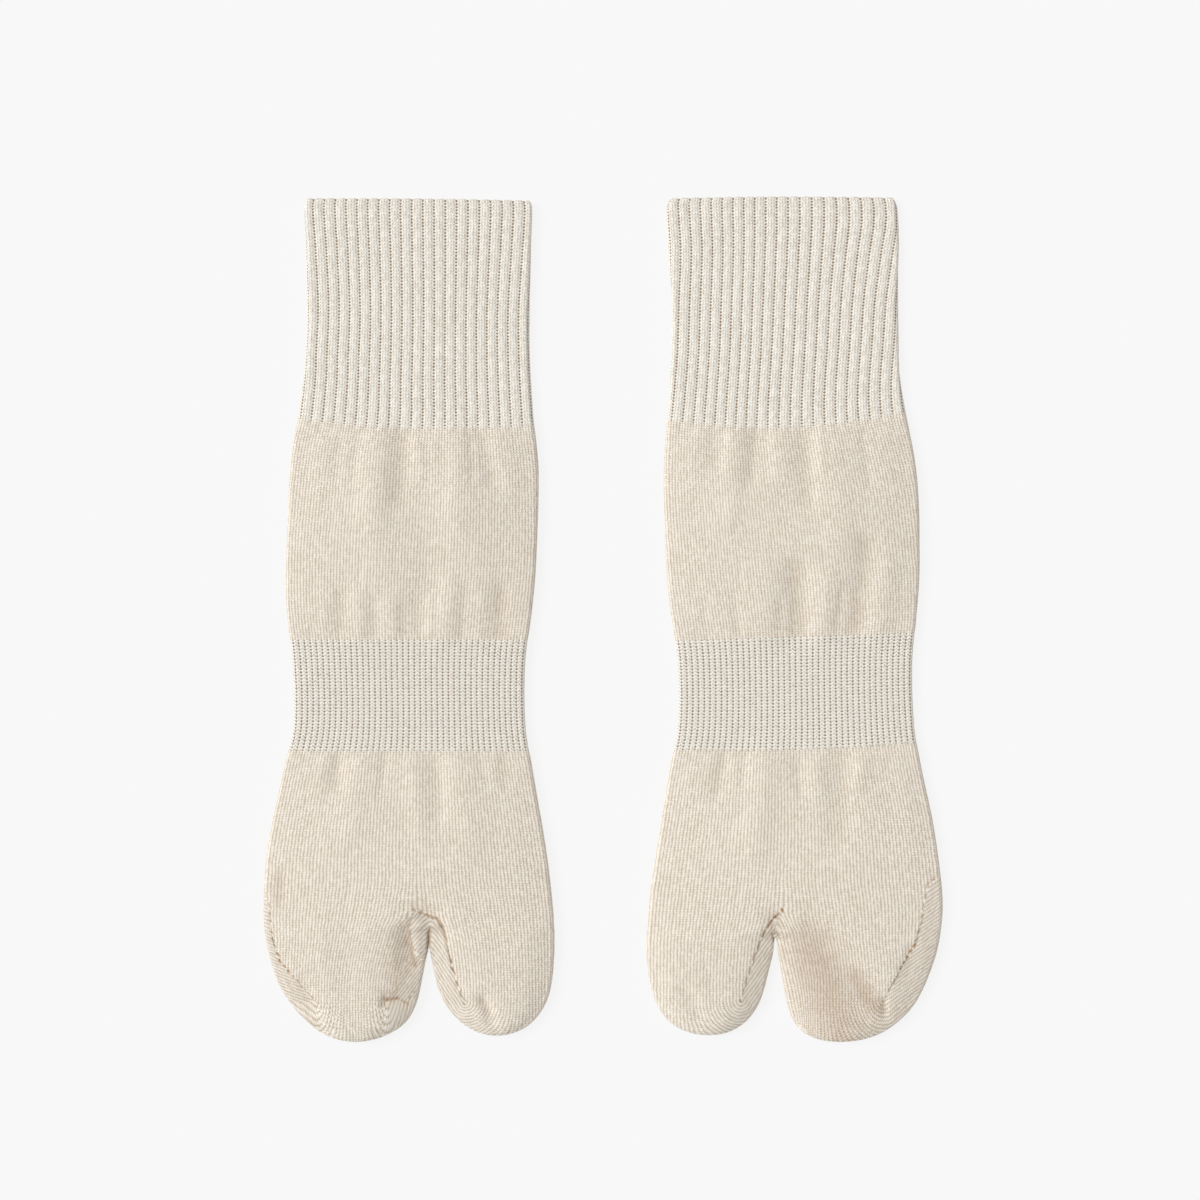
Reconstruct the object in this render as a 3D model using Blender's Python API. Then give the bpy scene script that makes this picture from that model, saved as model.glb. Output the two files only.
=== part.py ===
"""A pair of split-toe (tabi) socks, laid flat side by side with the toes towards -Y.

Each sock is one knitted tube with no heel, in four zones from the mouth to the toes: a ribbed
cuff, a plain leg, a ribbed band round the arch, and a plain foot that forks into two toe pockets.
A zone is a wall of knit: an outer skin and an inner skin, joined along its open rims. The tube
lies flat, so its section is a long flat loop with a round fold at each side, a flat underside and
a top that swells between the folds. The knitted ribs stand on the outer skin only.

The origin is on the surface, in the middle of the pair. X runs across, Y from toes to cuffs.
"""
from collections import namedtuple
from math import cos, exp, hypot, pi, sin, sqrt

import bmesh
import bpy

MM = 0.001

# ---- driving dimensions, in millimetres ----
SOCK_LENGTH = 295.4        # from the mouth of the cuff to the tip of the longest toe pocket
LEFT_CENTRE = -64.4        # centre line of the left-hand sock
RIGHT_CENTRE = 63.35       # centre line of the right-hand sock
WALL = 1.3                 # one layer of plain knit
GROOVE_WALL = 1.05         # one layer of ribbed knit, at the bottom of a groove
SEAM_GAP = 0.3             # between one zone and the next

CUFF_RIBS = 21             # ribs across one face of the cuff, four wales each
CUFF_RIB_DEPTH = 0.4
CUFF_GROOVE = 0.22         # half width of a groove, as a share of a rib
BAND_RIBS = 42             # ribs across one face of the arch band, two wales each
BAND_RIB_DEPTH = 0.25

CUFF_ROWS = 7              # rings of points along each zone
LEG_ROWS = 14
BAND_ROWS = 4
FOOT_ROWS = 12
TOE_ROUNDING = 9.0         # length over which a toe pocket's crown sinks to its tip
TANGENT_STEP = 0.02        # share of a line of a toe table used to find the fold's direction
FORK_WALL = 2.0            # the wall in the fork between the toes
SWELL_POWER = 3            # how squarely the top face swells between the side folds
SHARP_ANGLE = pi / 3       # faces that meet at more than this are shaded as an edge

ARC = (0.25, 0.5, 0.75)    # points round a side fold, from the top face to the bottom face
LOWER_ARC = 0.8            # the one point of a ribbed ring round the lower half of a fold
LEG_COLUMNS = 20           # columns across the top face of the leg
FOOT_COLUMNS = 24          # columns across the top face of the foot, closer beside the fork
FORK_CROWDING = 1.35
BOTTOM_COLUMNS = 6         # columns across the flat underside of any zone

# ---- the tables: x from the sock's centre line, along from the mouth towards the toes ----
Edge = namedtuple("Edge", "along left right")
Course = namedtuple("Course", "left middle right")
Height = namedtuple("Height", "along fold crown")
Fold = namedtuple("Fold", "x along end_x end_along half_width rise")
Toe = namedtuple("Toe", "left_x left_along right_x right_along")
Fork = namedtuple("Fork", "x along top_columns bottom_columns")
Sock = namedtuple("Sock", "name centre edges courses folds fork left_toe right_toe")

# Thickness of the flattened tube: at the side folds, and what the middle rises above them.
HEIGHTS = (
    Height(0.0, 3.4, 0.4),
    Height(74.0, 3.5, 0.6),
    Height(92.0, 3.6, 1.8),
    Height(116.0, 3.8, 2.3),
    Height(140.0, 3.6, 1.9),
    Height(156.0, 3.3, 0.8),
    Height(175.0, 3.2, 0.6),
    Height(192.0, 3.3, 0.9),
    Height(208.0, 3.5, 1.9),
    Height(232.0, 3.7, 2.4),
    Height(256.0, 3.8, 2.4),
)

LEFT_EDGES = (
    Edge(0.7, -39.6, 38.9),
    Edge(3.2, -40.2, 39.9),
    Edge(18.5, -39.5, 39.5),
    Edge(50.0, -39.2, 38.8),
    Edge(76.3, -42.0, 40.1),
    Edge(86.8, -44.1, 41.3),
    Edge(97.3, -45.1, 42.0),
    Edge(128.8, -46.4, 41.1),
    Edge(144.5, -46.2, 39.7),
    Edge(163.0, -44.2, 37.4),
    Edge(185.0, -43.9, 37.5),
    Edge(200.0, -47.2, 39.8),
    Edge(229.0, -53.0, 44.7),
    Edge(250.0, -54.2, 47.1),
    Edge(260.0, -53.5, 47.4),
)
LEFT_COURSES = {
    "mouth": Course(0.8, 0.9, 1.6),
    "cuff_end": Course(77.7, 81.3, 79.8),
    "leg_end": Course(155.0, 155.0, 155.0),
    "band_end": Course(193.6, 193.6, 193.6),
}
LEFT_FOLDS = (
    # gathers where the wide leg leaves the cuff
    Fold(-13.7, 84.0, -15.8, 113.0, 5.5, 0.9),
    Fold(-5.3, 85.0, -6.7, 114.0, 3.5, -1.1),
    Fold(-0.7, 87.0, 1.8, 97.0, 2.4, 0.4),
    Fold(13.0, 84.0, 13.7, 113.0, 5.0, 0.8),
    Fold(22.8, 85.0, 25.6, 99.0, 3.0, -0.8),
    Fold(30.8, 86.0, 32.6, 106.0, 3.5, 0.5),
    # gathers where the leg runs into the arch band
    Fold(-26.8, 138.0, -27.0, 152.0, 3.0, -0.9),
    Fold(-20.3, 137.0, -20.3, 152.0, 3.0, 0.6),
    Fold(-15.0, 140.0, -15.0, 152.0, 2.5, -0.6),
    Fold(-9.1, 140.0, -9.1, 152.0, 3.2, 0.6),
    Fold(0.2, 140.0, -0.4, 152.0, 3.5, -0.7),
    Fold(10.9, 136.0, 9.5, 152.0, 4.0, 0.8),
    Fold(29.4, 138.0, 28.4, 153.0, 3.2, -1.2),
    # gathers where the foot leaves the arch band
    Fold(-27.7, 197.0, -29.0, 205.0, 3.0, -1.0),
    Fold(-20.0, 198.0, -23.5, 222.0, 5.0, 0.8),
    Fold(-1.8, 198.0, 0.4, 222.0, 3.2, 0.5),
    Fold(6.3, 197.0, 7.4, 215.0, 3.0, -0.9),
    Fold(14.4, 198.0, 17.9, 225.0, 5.0, 0.7),
    Fold(30.0, 197.0, 31.0, 204.0, 2.8, -0.8),
    # the dent beside the small toes, and the toe pockets' own creases
    Fold(-47.6, 235.5, -48.0, 247.0, 2.4, -1.2),
    Fold(-29.4, 253.0, -31.0, 283.0, 5.0, 0.7),
    Fold(-40.0, 276.0, -37.5, 283.0, 2.8, -0.7),
    Fold(3.5, 246.0, 3.5, 256.0, 5.0, -1.6),
    Fold(0.9, 256.0, 1.3, 265.0, 2.4, 1.6),
    Fold(-4.0, 257.0, -3.4, 268.0, 3.0, -1.4),
    Fold(-10.9, 280.6, -3.4, 281.6, 1.8, -1.1),
    Fold(22.8, 281.0, 25.6, 287.0, 2.4, -0.8),
)
LEFT_FORK = Fork(3.7, 256.3, 14, 4)
LEFT_SMALL_TOES = (
    Toe(-53.9, 256.9, 3.4, 256.9),
    Toe(-52.9, 262.1, 3.1, 262.1),
    Toe(-51.7, 267.0, 2.5, 267.0),
    Toe(-50.0, 272.6, 1.4, 272.6),
    Toe(-47.2, 278.2, 0.3, 278.2),
    Toe(-43.8, 283.1, -1.2, 283.1),
    Toe(-39.5, 287.9, -3.8, 287.7),
    Toe(-35.0, 291.5, -7.8, 291.2),
    Toe(-30.4, 293.8, -12.9, 293.7),
    Toe(-25.9, 295.0, -17.5, 294.9),
    Toe(-21.5, 295.4, -21.5, 295.4),
)
LEFT_BIG_TOE = (
    Toe(4.0, 256.9, 47.5, 256.9),
    Toe(4.1, 262.1, 47.5, 262.1),
    Toe(4.6, 267.0, 47.3, 267.0),
    Toe(5.7, 272.6, 46.8, 272.6),
    Toe(7.4, 278.2, 45.8, 278.2),
    Toe(9.9, 283.1, 44.0, 282.8),
    Toe(13.3, 287.2, 41.3, 286.8),
    Toe(17.1, 290.2, 37.9, 290.0),
    Toe(20.8, 292.0, 33.8, 292.0),
    Toe(24.2, 292.9, 30.4, 292.9),
    Toe(27.2, 293.2, 27.2, 293.2),
)

RIGHT_EDGES = (
    Edge(0.2, -40.4, 38.6),
    Edge(3.2, -41.3, 39.5),
    Edge(18.5, -40.6, 40.1),
    Edge(39.5, -39.5, 39.8),
    Edge(65.8, -40.1, 40.9),
    Edge(97.3, -42.2, 46.3),
    Edge(128.8, -41.3, 47.3),
    Edge(144.5, -39.9, 46.4),
    Edge(163.0, -37.4, 44.8),
    Edge(185.0, -37.4, 45.5),
    Edge(200.0, -40.1, 48.0),
    Edge(219.0, -43.2, 52.0),
    Edge(240.0, -46.5, 54.9),
    Edge(250.0, -47.6, 55.3),
    Edge(260.0, -48.2, 54.2),
)
RIGHT_COURSES = {
    "mouth": Course(0.8, 0.2, 0.6),
    "cuff_end": Course(78.0, 80.9, 75.2),
    "leg_end": Course(155.4, 154.0, 152.6),
    "band_end": Course(193.2, 193.2, 190.8),
}
RIGHT_FOLDS = (
    # gathers where the wide leg leaves the cuff
    Fold(-24.6, 84.0, -25.2, 93.0, 2.8, -0.7),
    Fold(-17.9, 84.0, -19.6, 113.0, 4.0, 0.6),
    Fold(-10.2, 84.0, -11.9, 99.0, 3.0, -1.1),
    Fold(-1.8, 84.0, -1.4, 95.0, 4.0, 0.4),
    Fold(7.4, 84.0, 8.4, 106.0, 3.2, -1.1),
    Fold(16.8, 84.0, 19.6, 120.0, 6.0, 0.8),
    # gathers where the leg runs into the arch band
    Fold(-6.7, 134.0, -7.7, 152.0, 6.0, 0.5),
    Fold(4.2, 132.0, 4.9, 152.0, 4.2, -1.1),
    Fold(14.7, 135.0, 12.6, 152.0, 4.5, 0.7),
    Fold(28.7, 122.0, 25.2, 150.0, 4.2, -1.1),
    Fold(37.0, 130.0, 33.6, 150.0, 4.0, 0.8),
    # gathers where the foot leaves the arch band
    Fold(-21.7, 197.0, -23.8, 207.0, 3.0, -1.0),
    Fold(-6.7, 197.0, -11.2, 228.0, 5.5, 0.8),
    Fold(4.6, 198.0, 5.6, 209.0, 2.6, -0.6),
    Fold(10.9, 198.0, 11.9, 207.0, 3.0, 0.4),
    Fold(20.7, 196.0, 18.9, 221.0, 3.2, -1.0),
    Fold(26.6, 197.0, 25.2, 207.0, 3.0, 0.5),
    Fold(35.0, 197.0, 34.3, 204.0, 2.4, -0.5),
    Fold(42.0, 198.0, 47.0, 228.0, 4.0, 0.5),
    # the toe pockets' own creases
    Fold(-3.1, 248.0, -3.1, 258.0, 5.0, -1.6),
    Fold(8.5, 256.0, 34.0, 285.0, 5.0, -1.3),
    Fold(44.8, 263.6, 42.4, 272.0, 2.8, -0.8),
    Fold(-35.0, 277.6, -30.5, 285.0, 3.2, -0.8),
    Fold(0.8, 262.0, 2.0, 278.0, 3.0, 0.9),
)
RIGHT_FORK = Fork(-3.1, 258.6, 11, 3)
RIGHT_BIG_TOE = (
    Toe(-48.2, 259.2, -3.4, 259.2),
    Toe(-48.3, 264.2, -3.9, 264.2),
    Toe(-47.7, 270.5, -5.4, 270.5),
    Toe(-46.4, 276.8, -7.0, 276.8),
    Toe(-44.4, 282.4, -9.1, 282.4),
    Toe(-41.3, 287.2, -12.4, 287.2),
    Toe(-37.4, 290.3, -16.2, 290.3),
    Toe(-33.4, 292.0, -20.1, 292.1),
    Toe(-29.9, 292.8, -23.4, 292.8),
    Toe(-26.6, 293.0, -26.6, 293.0),
)
RIGHT_SMALL_TOES = (
    Toe(-2.8, 259.2, 54.3, 259.2),
    Toe(-2.2, 264.2, 53.2, 264.2),
    Toe(-1.2, 270.5, 51.1, 270.5),
    Toe(-0.2, 276.8, 48.5, 276.8),
    Toe(1.2, 283.1, 44.8, 283.1),
    Toe(3.4, 288.4, 39.6, 288.4),
    Toe(6.9, 292.2, 34.0, 292.2),
    Toe(10.8, 294.1, 28.9, 294.1),
    Toe(14.7, 295.0, 24.3, 295.0),
    Toe(19.3, 295.4, 19.3, 295.4),
)

SOCKS = (
    Sock("left", LEFT_CENTRE, LEFT_EDGES, LEFT_COURSES, LEFT_FOLDS,
         LEFT_FORK, LEFT_SMALL_TOES, LEFT_BIG_TOE),
    Sock("right", RIGHT_CENTRE, RIGHT_EDGES, RIGHT_COURSES, RIGHT_FOLDS,
         RIGHT_FORK, RIGHT_BIG_TOE, RIGHT_SMALL_TOES),
)

# Yarn colours as sRGB values, and the finish of dry cotton knit.
YARN = {
    "cuff": (0.885, 0.862, 0.812),
    "leg": (0.905, 0.875, 0.812),
    "arch_band": (0.880, 0.856, 0.805),
    "foot": (0.902, 0.868, 0.802),
}
YARN_ROUGHNESS = 0.92


# ---- curves through the tables ----

def hermite(values, knots, at):
    """A smooth curve through values at increasing knots, held at its end values outside them."""
    last = len(knots) - 1
    at = min(max(at, knots[0]), knots[last])
    span = 0
    while span < last - 1 and at > knots[span + 1]:
        span += 1

    def slope(knot):
        before = max(knot - 1, 0)
        after = min(knot + 1, last)
        return (values[after] - values[before]) / (knots[after] - knots[before])

    width = knots[span + 1] - knots[span]
    t = (at - knots[span]) / width
    start = values[span]
    end = values[span + 1]
    return (start * (1 + 2 * t) * (1 - t) ** 2
            + end * (3 - 2 * t) * t ** 2
            + slope(span) * width * t * (1 - t) ** 2
            - slope(span + 1) * width * t ** 2 * (1 - t))


def column(table, field, along):
    """One column of a table that is indexed by its own along column."""
    knots = [line.along for line in table]
    return hermite([getattr(line, field) for line in table], knots, along)


def toe_section(table, at):
    """The two side folds of a toe pocket at a place between the lines of its table."""
    knots = list(range(len(table)))
    return Toe(*[hermite([getattr(line, field) for line in table], knots, at)
                 for field in Toe._fields])


def fold_rise(sock, x, along):
    """How far the creases lift or lower the top face at a point."""
    rise = 0.0
    for fold in sock.folds:
        run_x = fold.end_x - fold.x
        run_along = fold.end_along - fold.along
        share = ((x - fold.x) * run_x + (along - fold.along) * run_along) / (run_x ** 2 + run_along ** 2)
        share = min(max(share, 0.0), 1.0)
        away = hypot(x - fold.x - share * run_x, along - fold.along - share * run_along)
        rise += fold.rise * exp(-(away / fold.half_width) ** 2)
    return rise


# ---- one ring of the flattened tube ----
# A Row is a section: its two side folds, how far its middle hangs below the line between them,
# its thickness at the folds, what the crown adds, and the height of its middle plane.
Row = namedtuple("Row", "left_x left_along right_x right_along sag fold crown middle")


def course_row(sock, start, end, share, shift):
    """A row of the tube, at a share of the way from one course to another."""
    left = start.left + (end.left - start.left) * share + shift
    middle = start.middle + (end.middle - start.middle) * share + shift
    right = start.right + (end.right - start.right) * share + shift
    fold = column(HEIGHTS, "fold", middle)
    return Row(column(sock.edges, "left", left), left, column(sock.edges, "right", right), right,
               middle - (left + right) / 2, fold, column(HEIGHTS, "crown", middle), fold / 2)


def skin_point(sock, row, place, depth):
    """A point of a row, so far below the outer skin, as (x, along, z) in millimetres."""
    stretch, share = place
    radius = row.fold / 2
    reach = radius - depth
    width = row.right_x - row.left_x
    if stretch == "left":
        x = row.left_x + radius - reach * sin(pi * share)
    elif stretch == "right":
        x = row.right_x - radius + reach * sin(pi * share)
    else:
        x = row.left_x + radius + (width - 2 * radius) * share
    across = (x - row.left_x) / width
    along = (row.left_along + (row.right_along - row.left_along) * across
             + row.sag * 4 * across * (1 - across))
    if stretch == "top":
        swell = 1 - abs(2 * share - 1) ** SWELL_POWER
        z = row.middle + reach + swell * max(row.crown + fold_rise(sock, x, along), 0.0)
    elif stretch == "bottom":
        z = row.middle - reach
    else:
        z = row.middle + reach * cos(pi * share)
    return x, along, z


def even(count):
    return [step / count for step in range(count + 1)]


ROUND = ("top", "right", "bottom", "left")


def turn(place):
    """How far round the section a place lies, in quarters, from the left end of the top face."""
    stretch, share = place
    onward = stretch in ("top", "right")
    return ROUND.index(stretch) + (share if onward else 1 - share)


def plain_places(tops, bottoms):
    """Places round a plain ring: the top face, the right fold, the bottom face, the left fold."""
    places = [("top", share) for share in tops]
    places += [("right", share) for share in ARC]
    places += [("bottom", share) for share in reversed(bottoms)]
    places += [("left", share) for share in reversed(ARC)]
    return [(place, 0.0) for place in places]


def ribbed_places(row, ribs, profile):
    """Places round a ribbed ring: the ribs share out the top face and the upper half of both
    folds, and the underside that rests is plain. The profile gives the points of one rib: each
    one's place, as a share of a rib from the groove, and its depth."""
    quarter = pi * row.fold / 4
    flat = row.right_x - row.left_x - row.fold
    places = []
    for rib in range(ribs + 1):
        for offset, depth in profile:
            run = (rib + offset) / ribs * (flat + 2 * quarter)
            if run < quarter:
                place = ("left", 0.5 * (1 - run / quarter))
            elif run > quarter + flat:
                place = ("right", 0.5 * (run - quarter - flat) / quarter)
            else:
                place = ("top", (run - quarter) / flat)
            if 0 <= rib + offset <= ribs:
                places.append((place, depth))
    places.append((("right", LOWER_ARC), 0.0))
    places += [(("bottom", share), 0.0) for share in reversed(even(BOTTOM_COLUMNS))]
    places.append((("left", LOWER_ARC), 0.0))
    return places


# ---- a wall of knit as a mesh ----

class Wall:
    """The points and faces of one zone, filled ring by ring."""

    def __init__(self, sock):
        self.sock = sock
        self.points = []
        self.turns = {}
        self.faces = []

    def point(self, x, along, z):
        self.points.append(((self.sock.centre + x) * MM, (SOCK_LENGTH / 2 - along) * MM, z * MM))
        return len(self.points) - 1

    def ring(self, row, places, depth):
        ring = []
        for place, extra in places:
            ring.append(self.point(*skin_point(self.sock, row, place, depth + extra)))
            self.turns[ring[-1]] = turn(place)
        return ring

    def strip(self, ring, next_ring):
        for step in range(len(ring)):
            after = (step + 1) % len(ring)
            self.faces.append((ring[step], ring[after], next_ring[after], next_ring[step]))

    def skin(self, rings):
        for ring, next_ring in zip(rings, rings[1:]):
            self.strip(ring, next_ring)

    def fan(self, ring, tip):
        for step in range(len(ring)):
            self.faces.append((ring[step], ring[(step + 1) % len(ring)], tip))

    def turns_from_first(self, ring):
        first = self.turns[ring[0]]
        return [(self.turns[point] - first) % len(ROUND) for point in ring] + [len(ROUND)]

    def rim(self, outer, inner):
        """Close an open end with triangles between the outer ring and the coarser inner one,
        which start at the same place."""
        outer_turns = self.turns_from_first(outer)
        inner_turns = self.turns_from_first(inner)
        a = 0
        b = 0
        while a < len(outer) or b < len(inner):
            here = outer[a % len(outer)]
            there = inner[b % len(inner)]
            outer_next = (outer_turns[a] + outer_turns[a + 1]) / 2 if a < len(outer) else len(ROUND)
            inner_next = (inner_turns[b] + inner_turns[b + 1]) / 2 if b < len(inner) else len(ROUND)
            if b == len(inner) or (a < len(outer) and outer_next <= inner_next):
                a += 1
                self.faces.append((here, outer[a % len(outer)], there))
            else:
                b += 1
                self.faces.append((here, inner[b % len(inner)], there))

    def build(self, zone):
        name = self.sock.name + "_" + zone
        mesh = bpy.data.meshes.new(name)
        mesh.from_pydata(self.points, [], self.faces)
        work = bmesh.new()
        work.from_mesh(mesh)
        bmesh.ops.recalc_face_normals(work, faces=work.faces)
        work.to_mesh(mesh)
        work.free()
        mesh.shade_smooth()
        mesh.set_sharp_from_angle(angle=SHARP_ANGLE)
        mesh.materials.append(yarn_material(name, YARN[zone]))
        part = bpy.data.objects.new(name, mesh)
        bpy.context.scene.collection.objects.link(part)
        return part


def to_linear(value):
    return value / 12.92 if value <= 0.04045 else ((value + 0.055) / 1.055) ** 2.4


def yarn_material(name, colour):
    material = bpy.data.materials.new(name + "_yarn")
    material.use_nodes = True
    shader = material.node_tree.nodes["Principled BSDF"]
    shader.inputs["Base Color"].default_value = (*[to_linear(value) for value in colour], 1.0)
    shader.inputs["Roughness"].default_value = YARN_ROUGHNESS
    shader.inputs["Metallic"].default_value = 0.0
    return material


# ---- the zones ----

def tube_rows(sock, start, end, count, first_shift, last_shift):
    """Rows from one course to the next, with the seam gaps taken off at the ends."""
    rows = []
    for step in range(count):
        share = step / (count - 1)
        shift = first_shift * (1 - share) + last_shift * share
        rows.append(course_row(sock, start, end, share, shift))
    return rows


def open_tube(wall, outer, inner):
    """A tube that is open at both ends."""
    wall.skin(outer)
    wall.skin(inner)
    wall.rim(outer[0], inner[0])
    wall.rim(outer[-1], inner[-1])


def ribbed_tube(sock, zone, rows, ribs, profile, depth):
    """A ribbed zone, plain inside, with a line of inner points under every groove."""
    wall = Wall(sock)
    outer = [wall.ring(row, ribbed_places(row, ribs, profile), 0.0) for row in rows]
    inner = [wall.ring(row, ribbed_places(row, ribs, ((0.0, 0.0),)), GROOVE_WALL + depth)
             for row in rows]
    open_tube(wall, outer, inner)
    return wall.build(zone)


def cuff(sock):
    rows = tube_rows(sock, sock.courses["mouth"], sock.courses["cuff_end"], CUFF_ROWS,
                     0.0, -SEAM_GAP / 2)
    profile = ((-CUFF_GROOVE, 0.0), (0.0, CUFF_RIB_DEPTH), (CUFF_GROOVE, 0.0))
    return ribbed_tube(sock, "cuff", rows, CUFF_RIBS, profile, CUFF_RIB_DEPTH)


def arch_band(sock):
    rows = tube_rows(sock, sock.courses["leg_end"], sock.courses["band_end"], BAND_ROWS,
                     SEAM_GAP / 2, -SEAM_GAP / 2)
    profile = ((0.0, BAND_RIB_DEPTH), (0.5, 0.0))
    return ribbed_tube(sock, "arch_band", rows, BAND_RIBS, profile, BAND_RIB_DEPTH)


def leg(sock):
    wall = Wall(sock)
    rows = tube_rows(sock, sock.courses["cuff_end"], sock.courses["leg_end"], LEG_ROWS,
                     SEAM_GAP / 2, -SEAM_GAP / 2)
    places = plain_places(even(LEG_COLUMNS), even(BOTTOM_COLUMNS))
    outer = [wall.ring(row, places, 0.0) for row in rows]
    inner = [wall.ring(row, places, WALL) for row in rows]
    open_tube(wall, outer, inner)
    return wall.build("leg")


def crowded(count):
    """Shares from 0 to 1 that lie closer together towards 0."""
    return [share ** FORK_CROWDING for share in even(count)]


def left_columns(count):
    return [1 - share for share in reversed(crowded(count))]


def forked_columns(count, split, share):
    """Columns of a face that forks: one of them runs down to the fork."""
    left = [share * across for across in left_columns(split)]
    right = [share + (1 - share) * across for across in crowded(count - split)]
    return left[:-1] + right


def round_off(distance, length):
    """A quarter circle: 0 at a tip, 1 from a length away from it."""
    left = 1 - min(max(distance / length, 0.0), 1.0)
    return sqrt(1 - left ** 2)


def toe_row(table, at, depth):
    """A row of a toe pocket on the outer skin, or on the skin a depth inside it."""
    section = toe_section(table, at)
    before = toe_section(table, at - TANGENT_STEP)
    after = toe_section(table, at + TANGENT_STEP)
    tip = table[-1].left_along - depth

    def inward(run_x, run_along, side):
        length = hypot(run_x, run_along)
        return side * run_along / length, -side * run_x / length

    left = inward(after.left_x - before.left_x, after.left_along - before.left_along, 1)
    right = inward(after.right_x - before.right_x, after.right_along - before.right_along, -1)
    left_along = section.left_along + depth * left[1]
    right_along = section.right_along + depth * right[1]
    middle = (left_along + right_along) / 2
    full = column(HEIGHTS, "fold", middle)
    rounding = round_off(tip - middle, full / 2 - depth)
    crown = column(HEIGHTS, "crown", middle) * round_off(tip - middle, TOE_ROUNDING)
    return Row(section.left_x + depth * (left[0] - 1), left_along,
               section.right_x + depth * (right[0] + 1), right_along,
               0.0, 2 * (depth + rounding * (full / 2 - depth)), crown, full / 2)


def toe_pocket(wall, table, first_ring, places, depth):
    """Close one toe pocket, from its ring at the fork through the lines of its table to its tip,
    with one more ring close to the tip."""
    rings = [first_ring]
    for at in list(range(len(table) - 1)) + [len(table) - 1.5]:
        rings.append(wall.ring(toe_row(table, at, depth), places, depth))
    wall.skin(rings)
    tip = table[-1]
    middle = column(HEIGHTS, "fold", tip.left_along) / 2
    wall.fan(rings[-1], wall.point(tip.left_x, tip.left_along - depth, middle))


def forked_skin(wall, depth, fork_wall):
    """One skin of the foot: the tube down to the fork, the saddle between the toes, and both
    toe pockets. Returns the ring at the open end."""
    sock = wall.sock
    top_split = sock.fork.top_columns
    bottom_split = sock.fork.bottom_columns
    reach = column(HEIGHTS, "fold", sock.fork.along) / 2 - depth
    fork = sock.fork.along - fork_wall - reach
    rows = tube_rows(sock, sock.courses["band_end"], Course(fork, fork, fork), FOOT_ROWS,
                     SEAM_GAP / 2, 0.0)
    last = rows[-1]
    split = (sock.fork.x - last.left_x - last.fold / 2) / (last.right_x - last.left_x - last.fold)
    tops = forked_columns(FOOT_COLUMNS, top_split, split)
    bottoms = forked_columns(BOTTOM_COLUMNS, bottom_split, split)
    rings = [wall.ring(row, plain_places(tops, bottoms), depth) for row in rows]
    wall.skin(rings)

    ring = rings[-1]
    top = ring[:FOOT_COLUMNS + 1]
    right_fold = ring[FOOT_COLUMNS + 1:FOOT_COLUMNS + 1 + len(ARC)]
    bottom = ring[FOOT_COLUMNS + 1 + len(ARC):-len(ARC)][::-1]
    left_fold = ring[-len(ARC):]
    roof = wall.points[top[top_split]]
    floor = wall.points[bottom[bottom_split]]
    saddle = []
    for share in ARC:
        height = (roof[2] + floor[2]) / 2 + (roof[2] - floor[2]) / 2 * cos(pi * share)
        saddle.append(wall.point(sock.fork.x, fork + reach * sin(pi * share), height / MM))

    left_ring = top[:top_split + 1] + saddle + bottom[:bottom_split + 1][::-1] + left_fold
    right_ring = top[top_split:] + right_fold + bottom[bottom_split:][::-1] + saddle[::-1]
    left_places = plain_places(left_columns(top_split), left_columns(bottom_split))
    right_places = plain_places(crowded(FOOT_COLUMNS - top_split),
                                crowded(BOTTOM_COLUMNS - bottom_split))
    toe_pocket(wall, sock.left_toe, left_ring, left_places, depth)
    toe_pocket(wall, sock.right_toe, right_ring, right_places, depth)
    return rings[0]


def foot(sock):
    wall = Wall(sock)
    outer = forked_skin(wall, 0.0, 0.0)
    inner = forked_skin(wall, WALL, FORK_WALL)
    wall.rim(outer, inner)
    return wall.build("foot")


def clear_scene():
    for old in list(bpy.data.objects):
        bpy.data.objects.remove(old, do_unlink=True)


clear_scene()
for pair_member in SOCKS:
    cuff(pair_member)
    leg(pair_member)
    arch_band(pair_member)
    foot(pair_member)
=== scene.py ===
# %% [markdown]
# # A pair of split-toe socks, knitted and laid flat
#
# Each sock is one tube of cotton knit. It starts with a wide ribbed cuff, runs through a plain leg
# and a finely ribbed band round the arch, and forks into two toe pockets. The big toe has its own
# pocket, so that the thong of a sandal can pass between the toes. A CAD solid stands for each
# zone already. This lesson makes the knit that is seen in its place.

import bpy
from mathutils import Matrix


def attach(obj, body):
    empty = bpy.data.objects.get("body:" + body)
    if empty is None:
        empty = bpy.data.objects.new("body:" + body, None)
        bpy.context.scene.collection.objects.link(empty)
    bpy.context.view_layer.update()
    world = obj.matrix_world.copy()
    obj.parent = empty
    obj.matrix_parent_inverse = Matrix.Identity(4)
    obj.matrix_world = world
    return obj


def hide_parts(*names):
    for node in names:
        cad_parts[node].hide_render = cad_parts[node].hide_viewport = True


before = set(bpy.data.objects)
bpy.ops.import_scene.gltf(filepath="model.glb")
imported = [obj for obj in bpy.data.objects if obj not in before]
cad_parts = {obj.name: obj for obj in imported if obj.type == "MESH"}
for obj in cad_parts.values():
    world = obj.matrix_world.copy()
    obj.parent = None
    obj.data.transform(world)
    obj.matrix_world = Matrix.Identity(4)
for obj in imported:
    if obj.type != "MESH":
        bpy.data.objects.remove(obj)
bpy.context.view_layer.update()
print("zones in the frame:", ", ".join(sorted(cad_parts)))

# %% Modules and units
from collections import namedtuple
from math import cos, pi, radians, sin

import bpy
import numpy as np

MM = 0.001

# %% [markdown]
# ## The size of a sock
#
# The sizes are those of the CAD solids, in millimetres, so that each piece of knit lies where its
# solid lies. A place on a sock has an x, measured from the sock's centre line, and an along,
# measured from the mouth of the cuff towards the toes.

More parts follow.
